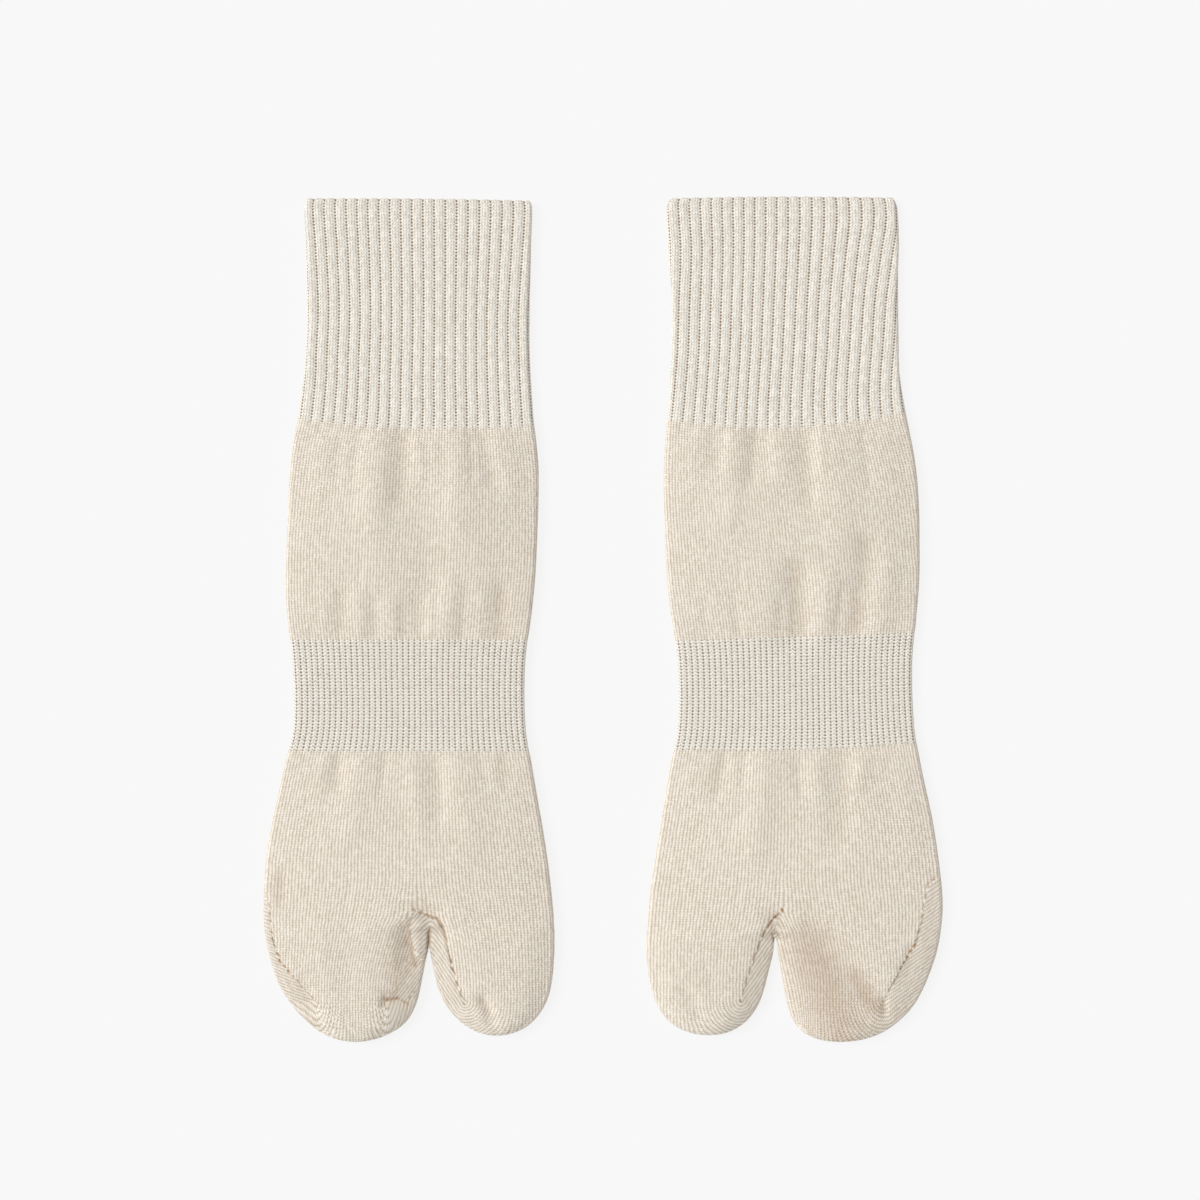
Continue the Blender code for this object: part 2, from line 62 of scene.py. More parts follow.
# %% Driving sizes
SOCK_LENGTH = 295.4
WALL = 1.3
RIB_WALL = 1.45            # a ribbed zone, from the top of a rib to the inside
WALES = 84                 # columns of stitches across one face of the tube
SWELL_POWER = 3            # how squarely the top face swells between the side folds
TOE_ROUNDING = 9.0         # over how much of its end a toe pocket gets thinner
FORK_WALL = 2.0
print("columns of stitches round a sock:", 2 * WALES)

# %% [markdown]
# ## The outline in tables
#
# A sock that is laid out flat is never quite even. So its outline is drawn in short tables, and
# not from a formula. Edges say how far the sock reaches to each side. Courses say where one zone
# ends and the next begins, at the left, in the middle and at the right. A fold is a soft ridge from
# one place to another, or a furrow where its rise is negative. Each line of a toe pocket joins a
# place on its left side to one on its right, and the last line is its tip.

# %% Tables whose columns have names
Edge = namedtuple("Edge", "along left right")
Course = namedtuple("Course", "left middle right")
Height = namedtuple("Height", "along fold crown")
Fold = namedtuple("Fold", "x along end_x end_along half_width rise")
Toe = namedtuple("Toe", "left_x left_along right_x right_along")
Fork = namedtuple("Fork", "x along")


def table_of(kind, *lines):
    """A table whose lines are all of one kind."""
    return tuple(kind(*line) for line in lines)


# %% Thickness of the flattened tube
# How thick the tube is at its side folds, and how much more in its middle.
HEIGHTS = table_of(
    Height,
    (0, 3.4, 0.4), (74, 3.5, 0.6), (92, 3.6, 1.8), (116, 3.8, 2.3), (140, 3.6, 1.9),
    (156, 3.3, 0.8), (175, 3.2, 0.6), (192, 3.3, 0.9), (208, 3.5, 1.9), (232, 3.7, 2.4),
    (256, 3.8, 2.4),
)

# %% The left-hand sock
LEFT = {"name": "left", "centre": -64.4}
LEFT["edges"] = table_of(
    Edge,
    (0.7, -39.6, 38.9), (3.2, -40.2, 39.9), (18.5, -39.5, 39.5), (50, -39.2, 38.8),
    (76.3, -42, 40.1), (86.8, -44.1, 41.3), (97.3, -45.1, 42), (128.8, -46.4, 41.1),
    (144.5, -46.2, 39.7), (163, -44.2, 37.4), (185, -43.9, 37.5), (200, -47.2, 39.8),
    (229, -53, 44.7), (250, -54.2, 47.1), (260, -53.5, 47.4),
)
LEFT["courses"] = {
    "mouth": Course(0.8, 0.9, 1.6),
    "cuff_end": Course(77.7, 81.3, 79.8),
    "leg_end": Course(155.0, 155.0, 155.0),
    "band_end": Course(193.6, 193.6, 193.6),
}
LEFT["folds"] = table_of(
    Fold,
    # gathers where the wide leg leaves the cuff
    (-13.7, 84, -15.8, 113, 5.8, 0.75), (-5.3, 85, -6.4, 106, 3.9, -0.85),
    (-0.7, 87, 1.8, 97, 2.4, 0.4), (13, 84, 13.7, 113, 5, 0.8), (22.8, 85, 25.6, 99, 3, -0.8),
    (30.8, 86, 32.6, 106, 3.5, 0.5),
    # gathers where the leg runs into the arch band
    (-26.8, 140, -27, 152, 2.8, -0.7), (-20.3, 139, -20.3, 152, 3.2, 0.45),
    (-15, 142, -15, 152, 2.5, -0.4), (-9.1, 141, -9.1, 152, 3.2, 0.5),
    (0.2, 142, -0.4, 152, 3.8, -0.55), (10.9, 136, 9.5, 152, 4, 0.8),
    (29.4, 138, 28.4, 153, 3.2, -1.2),
    # gathers where the foot leaves the arch band
    (-27.7, 197, -29, 205, 3, -1), (-20, 198, -23.5, 220, 5.4, 0.6),
    (-1.8, 198, 0.4, 222, 3.2, 0.5), (6.3, 197, 7.4, 215, 3.4, -0.7),
    (14.4, 198, 17.9, 225, 5.4, 0.55), (30, 197, 31, 204, 2.8, -0.8),
    # the dent beside the small toes, and the toe pockets' own creases
    (-47.6, 235.5, -48, 247, 2.4, -1.2), (-32.8, 250, -31.8, 287, 5, 0.45),
    (-40, 276, -37.5, 283, 2.8, -0.7), (3.5, 251, 3.5, 256, 5, -1.4),
    (0.9, 256, 1.3, 265, 2.4, 1.6), (-4, 257, -3.4, 268, 3, -1.4),
    (-10.9, 280.6, -3.4, 281.6, 1.8, -1.1), (22.8, 281, 25.6, 287, 2.4, -0.8),
)
LEFT["fork"] = Fork(3.7, 256.3)
# the left pocket holds the small toes
LEFT["left_toe"] = table_of(
    Toe,
    (-53.9, 256.9, 3.64, 256.9), (-52.9, 262.1, 3.5, 262.1), (-51.7, 267, 2.5, 267),
    (-50, 272.6, 1.4, 272.6), (-47.2, 278.2, 0.3, 278.2), (-43.8, 283.1, -1.2, 283.1),
    (-39.5, 287.9, -3.8, 287.7), (-35, 291.5, -7.8, 291.2), (-30.4, 293.8, -12.9, 293.7),
    (-25.9, 295, -17.5, 294.9), (-21.5, 295.4, -21.5, 295.4),
)
LEFT["right_toe"] = table_of(
    Toe,
    (3.76, 256.9, 47.5, 256.9), (3.7, 262.1, 47.5, 262.1), (4.6, 267, 47.3, 267),
    (5.7, 272.6, 46.8, 272.6), (7.4, 278.2, 45.8, 278.2), (9.9, 283.1, 44, 282.8),
    (13.3, 287.2, 41.3, 286.8), (17.1, 290.2, 37.9, 290), (20.8, 292, 33.8, 292),
    (24.2, 292.9, 30.4, 292.9), (27.2, 293.2, 27.2, 293.2),
)

# %% The right-hand sock
RIGHT = {"name": "right", "centre": 63.35}
RIGHT["edges"] = table_of(
    Edge,
    (0.2, -40.4, 38.6), (3.2, -41.3, 39.5), (18.5, -40.6, 40.1), (39.5, -39.5, 39.8),
    (65.8, -40.1, 40.9), (97.3, -42.2, 46.3), (128.8, -41.3, 47.3), (144.5, -39.9, 46.4),
    (163, -37.4, 44.8), (185, -37.4, 45.5), (200, -40.1, 48), (219, -43.2, 52), (240, -46.5, 54.9),
    (250, -47.6, 55.3), (260, -48.2, 54.2),
)
RIGHT["courses"] = {
    "mouth": Course(0.8, 0.2, 0.6),
    "cuff_end": Course(78.0, 80.9, 75.2),
    "leg_end": Course(155.4, 154.0, 152.6),
    "band_end": Course(193.2, 193.2, 190.8),
}
RIGHT["folds"] = table_of(
    Fold,
    # gathers where the wide leg leaves the cuff
    (-24.6, 84, -25.2, 93, 2.8, -0.7), (-17.9, 84, -19.6, 113, 4, 0.6),
    (-10.2, 84, -11.9, 99, 3.2, -0.9), (-1.8, 84, -1.4, 95, 4, 0.4), (7, 84, 8, 106, 4.2, -0.8),
    (16.8, 84, 19.6, 120, 6, 0.6),
    # gathers where the leg runs into the arch band
    (-6.7, 134, -7.7, 152, 6, 0.5), (4, 131, 4.9, 152, 5, -1.2), (14.7, 135, 12.6, 152, 4.5, 0.7),
    (28.7, 122, 25.2, 150, 4.2, -1.1), (37, 130, 33.6, 150, 4, 0.8),
    # gathers where the foot leaves the arch band
    (-21.7, 197, -23.8, 207, 3, -1), (-6.7, 197, -11.2, 228, 5.5, 0.8),
    (4.6, 198, 5.6, 209, 2.6, -0.6), (10.9, 198, 11.9, 207, 3, 0.4),
    (20.4, 196, 18.9, 221, 4.5, -0.8), (26.6, 197, 25.2, 207, 3, 0.5),
    (35, 197, 34.3, 204, 2.4, -0.5), (42, 198, 47, 228, 4, 0.5),
    # the toe pockets' own creases
    (-3.1, 252, -3.1, 258, 4.5, -1.2), (8.5, 256, 34, 285, 7, -0.9),
    (44.8, 263.6, 42.4, 272, 2.8, -0.8), (-35, 277.6, -30.5, 285, 3.2, -0.8),
    (0.8, 262, 2, 278, 3, 0.9),
)
RIGHT["fork"] = Fork(-3.1, 258.6)
# the left pocket holds the big toe
RIGHT["left_toe"] = table_of(
    Toe,
    (-48.2, 259.2, -3.4, 259.2), (-48.3, 264.2, -3.9, 264.2), (-47.7, 270.5, -5.4, 270.5),
    (-46.4, 276.8, -7, 276.8), (-44.4, 282.4, -9.1, 282.4), (-41.3, 287.2, -12.4, 287.2),
    (-37.4, 290.3, -16.2, 290.3), (-33.4, 292, -20.1, 292.1), (-29.9, 292.8, -23.4, 292.8),
    (-26.6, 293, -26.6, 293),
)
RIGHT["right_toe"] = table_of(
    Toe,
    (-2.8, 259.2, 54.3, 259.2), (-2.2, 264.2, 53.2, 264.2), (-1.2, 270.5, 51.1, 270.5),
    (-0.2, 276.8, 48.5, 276.8), (1.2, 283.1, 44.8, 283.1), (3.4, 288.4, 39.6, 288.4),
    (6.9, 292.2, 34, 292.2), (10.8, 294.1, 28.9, 294.1), (14.7, 295, 24.3, 295),
    (19.3, 295.4, 19.3, 295.4),
)
print("folds:", len(LEFT["folds"]), "on the left sock and", len(RIGHT["folds"]), "on the right")

# %% [markdown]
# ## Ribs that drift
#
# A cuff is stretchy, so its ribs don't stay straight once it is laid down. They bow and drift to a
# side. Even ribs would look printed. So a table says how far they lie to the right of where they
# would be if they shared out the face evenly: at its left side, in its middle and at its right
# side. The bend fades out in the leg.

# %% Bends of the ribs
Bend = namedtuple("Bend", "along left middle right")
LEFT["bends"] = table_of(
    Bend,
    (0, 0.3, -0.3, 0.1), (12, 0.5, -0.3, -0.1), (37, 1.2, 0, -1.1), (54, 0.9, 0, -1.1),
    (62, 1.4, 0, -1.1), (72, 1.6, 0.3, -1.1), (81, 1.6, 0.2, -1.1), (120, 0, 0, 0),
)
RIGHT["bends"] = table_of(
    Bend,
    (0, 1, 0.2, 2.6), (10, 1.3, -0.2, 2.3), (20, 1.3, -0.9, 0.6), (37, -0.2, -2, -1.4),
    (54, -0.6, -2.9, -2.8), (72, -1.3, -4.2, -4.9), (81, -1.5, -4.4, -5.1), (150, 0, 0, 0),
)

# %% [markdown]
# ## Finer creases
#
# The solids already carry the large gathers. The finer ones are listed here: wide soft hollows in
# the leg, and short wrinkles beside the ribbed zones, where a relaxed rib draws the wide plain knit
# together. Numbers listed one by one are slower to write than a noise texture, but noise doesn't
# know where a rib pulls.

# %% Fine creases
LEFT["fine"] = table_of(
    Fold,
    # wide soft hollows and swells of the leg
    (-17, 96, -13.5, 138, 6.5, 0.5), (2, 98, 5, 138, 7, -0.6), (19, 96, 20, 138, 6, 0.3),
    (33, 110, 31, 136, 5, -0.4), (-38, 84, -40, 100, 1.8, -0.35), (-33, 86, -35, 112, 2.6, 0.3),
    (-27, 84, -29, 98, 1.6, -0.3), (-21, 84, -22.5, 101, 1.8, -0.35),
    (18.3, 84, 19.2, 97, 1.6, -0.35), (5.6, 84, 5.9, 101, 2, 0.3), (-33.4, 141, -33, 153, 1.8, 0.3),
    (-5, 143, -5.2, 153, 1.6, -0.3), (4.6, 142, 4.3, 153, 1.5, 0.35),
    (16.3, 140, 15.5, 153, 1.8, -0.35), (22.5, 139, 21.5, 153, 2.2, 0.35),
    (-33, 196, -35.5, 208, 2, 0.35), (-11.5, 196, -12.5, 206, 1.8, -0.4),
    (22, 196, 24, 206, 1.6, -0.35), (-48.5, 236, -49, 246, 1.3, -0.5), (-15, 254, -17, 284, 9, 0.7),
    (23, 280.5, 25, 284, 1.6, -0.7),
)
RIGHT["fine"] = table_of(
    Fold,
    (-31, 84, -32.5, 100, 2, 0.3), (-21.5, 84, -23, 96, 1.5, -0.3),
    (-6.3, 84, -6.5, 98, 1.6, -0.35), (12, 84, 13, 96, 1.7, 0.3), (27, 84, 30, 100, 1.8, -0.4),
    (35, 84, 38, 104, 2.4, 0.3), (-28, 140, -27, 152, 2, -0.3), (-17, 139, -16.5, 152, 1.8, -0.35),
    (-1.5, 142, -1.6, 152, 1.5, -0.3), (20, 138, 18.5, 151, 1.7, -0.35),
    (-32, 196, -34, 207, 1.8, 0.35), (-13.5, 196, -15, 206, 1.6, -0.4),
    (31, 195, 31.5, 204, 1.5, -0.3), (34.3, 281, 34.8, 286, 1.4, -0.8),
)
print("fine creases:", len(LEFT["fine"]), "and", len(RIGHT["fine"]))

# %% [markdown]
# ## Marks of the knitting machine
#
# Where the machine turned back at the edge of a toe pocket it left a row of small holes, and here
# and there a pucker. A hole in the knit shows the shaded inside, so a mark is tan as well as
# deep. Holes cut through the mesh would need very small faces. Instead each mark is pressed into
# the skin, as a short trough, and the finish darkens it by the mark's shade. Some marks are shade
# alone, where the cloth turns away into a hollow.

# %% Marks
Mark = namedtuple("Mark", "x along end_x end_along half_width depth shade")
LEFT["marks"] = table_of(
    Mark,
    # the first holes, the linked stretch and the last holes of the big toe's seam, pressed in and
    # painted with shade
    (-1.2, 249, -1.4, 248.6, 0.45, 0.25, 0.7), (0.6, 250.2, 1.3, 249.6, 0.45, 0.25, 0.8),
    (2.8, 250.6, 6.6, 252, 0.42, 0.2, 0.7), (6.6, 252, 8.6, 255, 0.85, 0.6, 0.6),
    (8.6, 255, 9.8, 259.2, 0.7, 0.5, 0.6), (9.9, 260, 10.5, 263.6, 0.42, 0.2, 0.6),
    (10.8, 264.8, 11.6, 267.3, 0.4, 0.2, 0.75), (11.6, 269, 12.9, 271.2, 0.36, 0.2, 0.8),
    (13.3, 274, 14, 275.4, 0.42, 0.25, 0.8), (14.9, 276.6, 14.9, 276.9, 0.36, 0.2, 0.7),
    (14.7, 278.5, 15.2, 279.1, 0.4, 0.2, 0.7), (16.5, 280.3, 16.5, 280.5, 0.36, 0.2, 0.7),
    (15.6, 281.3, 16.2, 281.7, 0.36, 0.2, 0.6),
    # the slit, painted shade alone, and the hollow to the left of the rolled edge, partly pressed
    # in and painted with shade
    (3.9, 256, 3.3, 262.5, 1, 0, 0.6), (3.3, 262.5, 3.2, 267, 0.9, 0, 0.45),
    (-3.2, 252, -3.1, 260.5, 1.3, 0.3, 0.4), (-3.1, 260.5, -1, 268.5, 1.2, 0.4, 0.5),
    (-4.6, 259, -3.6, 270, 3, 0.2, 0.34), (-6.6, 260, -7.6, 274, 5, 0, 0.28),
    (-7, 272, -8.6, 279, 4, 0, 0.3),
    # the pucker at the end of the small toes' inner seam
    (-10.8, 280.4, -7.2, 279.8, 0.8, 0.8, 0.62), (-7.2, 279.8, -3.3, 281.9, 0.5, 0.25, 0.55),
    (-11.4, 279, -12, 281.6, 1.6, 0.5, 0.32), (-9.6, 278.6, -9, 276.8, 0.35, 0.15, 0.4),
    (-7.6, 278.4, -7, 276.6, 0.35, 0.15, 0.35), (-5.6, 278.8, -4.8, 277.4, 0.35, 0.15, 0.3),
    (-3.2, 279.7, -2.7, 279.5, 0.45, 0.2, 0.6), (-2.2, 277.6, -1.5, 277.7, 0.4, 0.2, 0.5),
    (-1.6, 275, -1.2, 274.4, 0.35, 0.15, 0.35),
    # the shaded side of the small toes' outer face, past its crest
    (-44, 273, -37, 288, 3.8, 0, 0.22),
    # the holes of the outer seam
    (-52.4, 246.8, -52.2, 247.6, 0.44, 0.15, 0.55), (-51.9, 250, -51.6, 250.8, 0.44, 0.15, 0.65),
    (-51.6, 252.6, -51.4, 253.3, 0.44, 0.15, 0.65), (-51.3, 256.4, -50.9, 257.3, 0.44, 0.15, 0.7),
    (-51, 259, -50.5, 259.8, 0.44, 0.15, 0.7), (-50.3, 261.3, -49.8, 262, 0.44, 0.15, 0.7),
    (-49.4, 264, -48.6, 265, 0.47, 0.17, 0.8), (-48.6, 266.4, -47.9, 267.4, 0.47, 0.17, 0.8),
    (-46.9, 268.4, -46.3, 268.9, 0.47, 0.17, 0.8), (-45.4, 270.2, -45, 270.5, 0.53, 0.2, 0.85),
    (-43.6, 272, -43.3, 272.3, 0.47, 0.17, 0.7), (-42, 273.4, -41.7, 273.7, 0.47, 0.17, 0.7),
    (-40.8, 275.4, -40.5, 275.8, 0.47, 0.15, 0.65), (-38.6, 277.6, -38.3, 277.9, 0.44, 0.15, 0.6),
    (-36.8, 279.4, -36.5, 279.7, 0.44, 0.15, 0.6), (-35.2, 281, -35, 281.2, 0.44, 0.15, 0.55),
)
RIGHT["marks"] = table_of(
    Mark,
    # the big toe's seam, a chain of linked stitches, pressed in and painted with shade
    (-1.1, 248.6, -0.9, 249.4, 0.5, 0.25, 0.95), (-2.2, 250.2, -3.6, 251.6, 0.42, 0.2, 0.85),
    (-4.6, 252.6, -6, 254.8, 0.5, 0.2, 0.75), (-7.1, 256.2, -7.8, 258.2, 0.5, 0.2, 0.75),
    (-8.6, 260, -9.5, 262.4, 0.45, 0.2, 0.65), (-10.2, 264, -11.2, 266.4, 0.42, 0.2, 0.7),
    (-12.1, 269, -12.7, 271, 0.4, 0.2, 0.65), (-13.3, 272.8, -14, 274.6, 0.4, 0.2, 0.65),
    (-14.4, 276.6, -14.6, 277.2, 0.4, 0.2, 0.55), (-15.5, 280.4, -15.4, 280.8, 0.42, 0.2, 0.8),
    # the hollow at the head of the split, pressed in a little and painted with tan shade
    (-4.6, 253.6, -4.4, 257.6, 1, 0.1, 0.4), (-4.3, 257.4, -3.6, 260, 0.6, 0.15, 0.5),
    # the holes of the outer seam
    (52, 238.2, 51.4, 238.8, 0.5, 0.15, 0.65), (50.1, 239.6, 49.4, 241.4, 0.47, 0.15, 0.55),
    (49.2, 243.6, 48.9, 244.8, 0.47, 0.15, 0.5), (48.6, 247, 48.3, 248, 0.47, 0.15, 0.55),
    (48.1, 250.6, 47.7, 251.8, 0.5, 0.17, 0.65), (47.8, 253.4, 47.2, 254.3, 0.47, 0.17, 0.65),
    (47, 256, 46.3, 257, 0.47, 0.17, 0.65), (46.2, 259, 45.7, 259.7, 0.47, 0.17, 0.65),
    (45.4, 261, 44.8, 261.7, 0.53, 0.2, 0.85), (44, 263.1, 43.4, 263.6, 0.53, 0.2, 0.85),
    (42.8, 265.2, 42.4, 265.5, 0.53, 0.2, 0.9), (41.6, 267.2, 41.2, 267.5, 0.5, 0.2, 0.75),
    (40.5, 269, 40.1, 269.5, 0.5, 0.2, 0.75), (39.4, 271.8, 39.1, 272.2, 0.5, 0.17, 0.65),
    (38.2, 273.8, 37.8, 274.2, 0.47, 0.15, 0.65), (36.6, 276, 36.2, 276.6, 0.47, 0.15, 0.55),
    # the dent and the crease at the end of the small toes' outer seam
    (34.6, 280.6, 35.2, 285, 0.8, 0.5, 0.4), (27, 278, 33.6, 281.6, 2.4, 0.2, 0.28),
    # painted shade alone, along the diagonal crease from the split and over the small toes' pocket
    (8.6, 260, 12, 270, 5, 0, 0.28), (24, 272, 31, 283, 5.5, 0, 0.4),
    (9, 263, 20, 290, 14, 0, 0.38),
)
print("marks:", len(LEFT["marks"]), "and", len(RIGHT["marks"]))

# %% [markdown]
# ## How the wales run in the foot
#
# A wale is a column of stitches. Each toe pocket is knitted back and forth on fewer and fewer
# needles, and then on more again, as a sock's heel is. That leaves a slanting seam with a row of
# holes. The wales meet the seam, turn round its lower end and run back up and outwards. Over the
# head of the split they arch like a horseshoe, and above it they part like hair round a comb. A
# painted texture could show this too, but a rule for each seam keeps every stitch its true size.

# %% Seams of the toe pockets
# A gore is one seam, as places of x and along. Its pocket is -1 to the left of the split and 1 to
# the right of it, and outward tells in the same way which side lies outside the seam. Lean is how
# far the wales tip over there, in degrees, and reach how far inwards they still turn. A squash
# below 1 draws the turn out towards the toes.
Gore = namedtuple("Gore", "seam pocket outward lean reach squash")
# An arch counts its wales from its anchor, up the right leg of the horseshoe where way is -1.
Arch = namedtuple("Arch", "x along left_lean right_lean left_edge right_edge softness"
                          " anchor_x anchor_along way")
# The sides of a parting move out by left and right, from start to end.
Parting = namedtuple("Parting", "x along start end left right")

LEFT["gores"] = table_of(
    Gore,
    (((-54.6, 238.0), (-52.5, 246.8), (-51.1, 257.0), (-48.3, 266.7), (-42.0, 273.6),
      (-35.4, 281.0)), -1, -1, 18.0, 13.0, 0.45),
    (((-1.2, 263.5), (-4.4, 268.0), (-7.6, 275.0), (-10.8, 280.4)), -1, 1, 52.0, 9.0, 0.35),
    (((2.8, 250.6), (8.4, 254.8), (10.5, 263.6), (13.6, 274.8), (16.4, 281.2)),
     1, -1, 56.0, 26.0, 1.0),
)
LEFT["arch"] = Arch(
    4.2, 255.2, 50.0, 56.0,
    ((-1.2, 249.0), (-2.6, 253.0), (-2.6, 259.0), (-1.2, 263.5), (2.8, 267.5)),
    ((1.0, 249.6), (8.4, 254.8), (9.8, 259.4), (11.6, 267.0)), 0.0, 16.4, 281.2, -1)
LEFT["parting"] = Parting(0.6, 249.0, 236.0, 278.0, 13.0, 6.5)
RIGHT["gores"] = table_of(
    Gore,
    (((-1.0, 248.9), (-5.6, 253.8), (-9.4, 262.9), (-12.2, 270.6), (-15.4, 280.7)),
     -1, 1, 54.0, 26.0, 1.0),
    (((54.4, 237.0), (50.0, 241.0), (48.6, 247.0), (45.2, 261.1), (40.6, 268.8),
      (34.3, 280.4)), 1, 1, 34.0, 26.0, 0.8),
)
RIGHT["arch"] = Arch(
    -3.4, 258.2, 54.0, 78.0,
    ((-1.0, 248.9), (-2.6, 252.5), (-3.6, 256.0), (-3.2, 300.0)),
    ((1.0, 248.9), (6.5, 254.0), (10.0, 262.0), (12.0, 275.0), (12.0, 290.0)), 9.0,
    6.0, 262.0, 1)
RIGHT["parting"] = Parting(-1.6, 249.0, 236.0, 276.0, 4.0, 9.0)

# %% Both socks
Sock = namedtuple("Sock", "name centre edges courses folds fine bends marks fork left_toe"
                          " right_toe gores arch parting")
SOCKS = Sock(**LEFT), Sock(**RIGHT)
print("seams of the toe pockets:", {sock.name: len(sock.gores) for sock in SOCKS})

# %% [markdown]
# ## Curves through the tables
#
# A table gives the width of the sock at a few places only. A smooth curve through them gives it
# everywhere. Numpy works out a whole zone of points in one go, which keeps hundreds of
# thousands of them quick.

# %% Smooth curve through a table
def through(knots, values, at):
    """A smooth curve through values at rising knots, level beyond both ends."""
    knots = np.asarray(knots, float)
    values = np.asarray(values, float)
    last = len(knots) - 1
    at = np.clip(at, knots[0], knots[last])
    span = np.clip(np.searchsorted(knots, at, side="right") - 1, 0, last - 1)
    before = np.maximum(np.arange(last + 1) - 1, 0)
    after = np.minimum(np.arange(last + 1) + 1, last)
    slope = (values[after] - values[before]) / (knots[after] - knots[before])
    width = knots[span + 1] - knots[span]
    t = (at - knots[span]) / width
    return (values[span] * (1 + 2 * t) * (1 - t) ** 2
            + values[span + 1] * (3 - 2 * t) * t ** 2
            + slope[span] * width * t * (1 - t) ** 2
            - slope[span + 1] * width * t ** 2 * (1 - t))


def column(table, field, along):
    """One column of a table that is indexed by its own along column."""
    return through([line.along for line in table], [getattr(line, field) for line in table], along)


def smooth_step(value, low, high):
    """0 below low, 1 above high, and a soft S between them."""
    t = np.clip((value - low) / (high - low), 0, 1)
    return t * t * (3 - 2 * t)


arch = [float(column(SOCKS[0].edges, side, 175.0)) for side in ("left", "right")]
print(f"width at the arch band: {arch[1] - arch[0]:.1f} mm")

# %% Creases and marks as smooth bumps
# painted shade: a crease's valley is darkened to tan, the deeper the darker
VALLEY_SHADE = 0.24        # how tan the knit looks at the bottom of a crease 1 mm deep


def nearness(line, x, along):
    """1 on a crease or mark and falling off beside it, as a bell curve of the distance."""
    run_x = line.end_x - line.x
    run_along = line.end_along - line.along
    length = run_x ** 2 + run_along ** 2
    share = np.clip(((x - line.x) * run_x + (along - line.along) * run_along) / length, 0, 1)
    away = (x - line.x - share * run_x) ** 2 + (along - line.along - share * run_along) ** 2
    return np.exp(-away / line.half_width ** 2)


def rise_of(folds, x, along):
    """How far all the creases together lift the top face."""
    return sum(fold.rise * nearness(fold, x, along) for fold in folds)


def valley_shade(sock, x, along):
    """Painted tan shade in the valleys of the creases, darker where they are deeper."""
    return VALLEY_SHADE * np.clip(-rise_of(sock.folds, x, along), 0, 1)


# %% [markdown]
# ## One section of the flattened tube
#
# Lay a tube of knit on a table and cut it across. The cut is a long flat loop: a level underside,
# a round fold at each side, and a top face that swells between the folds. A place round that loop
# is a turn from 0 to 4: 0 to 1 is the top face from left to right, 1 to 2 the right fold, 2 to 3
# the underside and 3 to 4 the left fold. A skin lies a lift above the solid's own outer skin, so
# that the inside of the sock has a negative lift.

# %% Rows of the tube
Rows = namedtuple("Rows", "left_x left_along right_x right_along sag fold crown middle")


def tube_rows(sock, start, end, shares):
    """Rows from one course to the next, as columns of numbers."""
    shares = np.asarray(shares, float)[:, None]
    left = start.left + (end.left - start.left) * shares
    middle = start.middle + (end.middle - start.middle) * shares
    right = start.right + (end.right - start.right) * shares
    fold = column(HEIGHTS, "fold", middle)
    return Rows(column(sock.edges, "left", left), left, column(sock.edges, "right", right), right,
                middle - (left + right) / 2, fold, column(HEIGHTS, "crown", middle), fold / 2)


def turn_at(rows, wale):
    """Where a wale lies round the section. The wales share out a face and half of each fold."""
    quarter = pi * rows.fold / 4
    flat = rows.right_x - rows.left_x - rows.fold
    face = np.floor(wale / WALES)
    run = (wale - face * WALES) / WALES * (flat + 2 * quarter)
    left = -0.5 * (1 - run / quarter)
    top = (run - quarter) / flat
    right = 1 + 0.5 * (run - quarter - flat) / quarter
    return np.where(run < quarter, left, np.where(run > quarter + flat, right, top)) + 2 * face


# %% Points round a section
def section_points(sock, rows, turn, lift, fine):
    """Points at places round the sections, as x, along and z."""
    turn, lift = np.broadcast_arrays(turn, lift)
    part = np.floor(turn) % 4
    share = turn - np.floor(turn)
    radius = rows.fold / 2
    reach = np.maximum(radius + lift, 0)
    width = rows.right_x - rows.left_x
    flat = width - rows.fold
    faces = [part == 0, part == 1, part == 2]
    x = np.select(faces, [rows.left_x + radius + flat * share,
                          rows.right_x - radius + reach * np.sin(pi * share),
                          rows.right_x - radius - flat * share],
                  rows.left_x + radius - reach * np.sin(pi * share))
    across = (x - rows.left_x) / width
    along = (rows.left_along + (rows.right_along - rows.left_along) * across
             + rows.sag * 4 * across * (1 - across))
    rise = rows.crown + rise_of(sock.folds, x, along)
    if fine:
        rise = rise + rise_of(sock.fine, x, along)
    swell = (1 - np.abs(2 * share - 1) ** SWELL_POWER) * np.maximum(rise, 0)
    z = np.select(faces, [rows.middle + reach + swell,
                          rows.middle + reach * np.cos(pi * share),
                          rows.middle - reach],
                  rows.middle - reach * np.cos(pi * share))
    return np.stack([x, along, z], axis=-1)


courses = SOCKS[0].courses
ends = tube_rows(SOCKS[0], courses["mouth"], courses["cuff_end"], [0.0, 1.0])
print("cuff width at both ends, mm:", np.round((ends.right_x - ends.left_x).ravel(), 1))

# %% [markdown]
# ## Wales and courses
#
# A knitted face is a grid: wales run down it and courses run across it. Every point carries its
# place in that grid, counted in stitches, as a UV map. The finish reads the map and draws each
# stitch at its true size, and it stays with the cloth wherever the cloth bends. In the foot the
# map follows the seams, so the wales there are found step by step: first fanned out over the
# width, then parted above the split, then turned beside each seam, and last arched over the split.

# %% Wales that fan out and part
PLAIN_COURSE = 0.86        # height of a plain stitch, mm
SHARP_PARTING = 0.3        # how softly the parting changes sides below the split, mm
SOFT_PARTING = 2.6         # and above it, as a share of how far its sides move


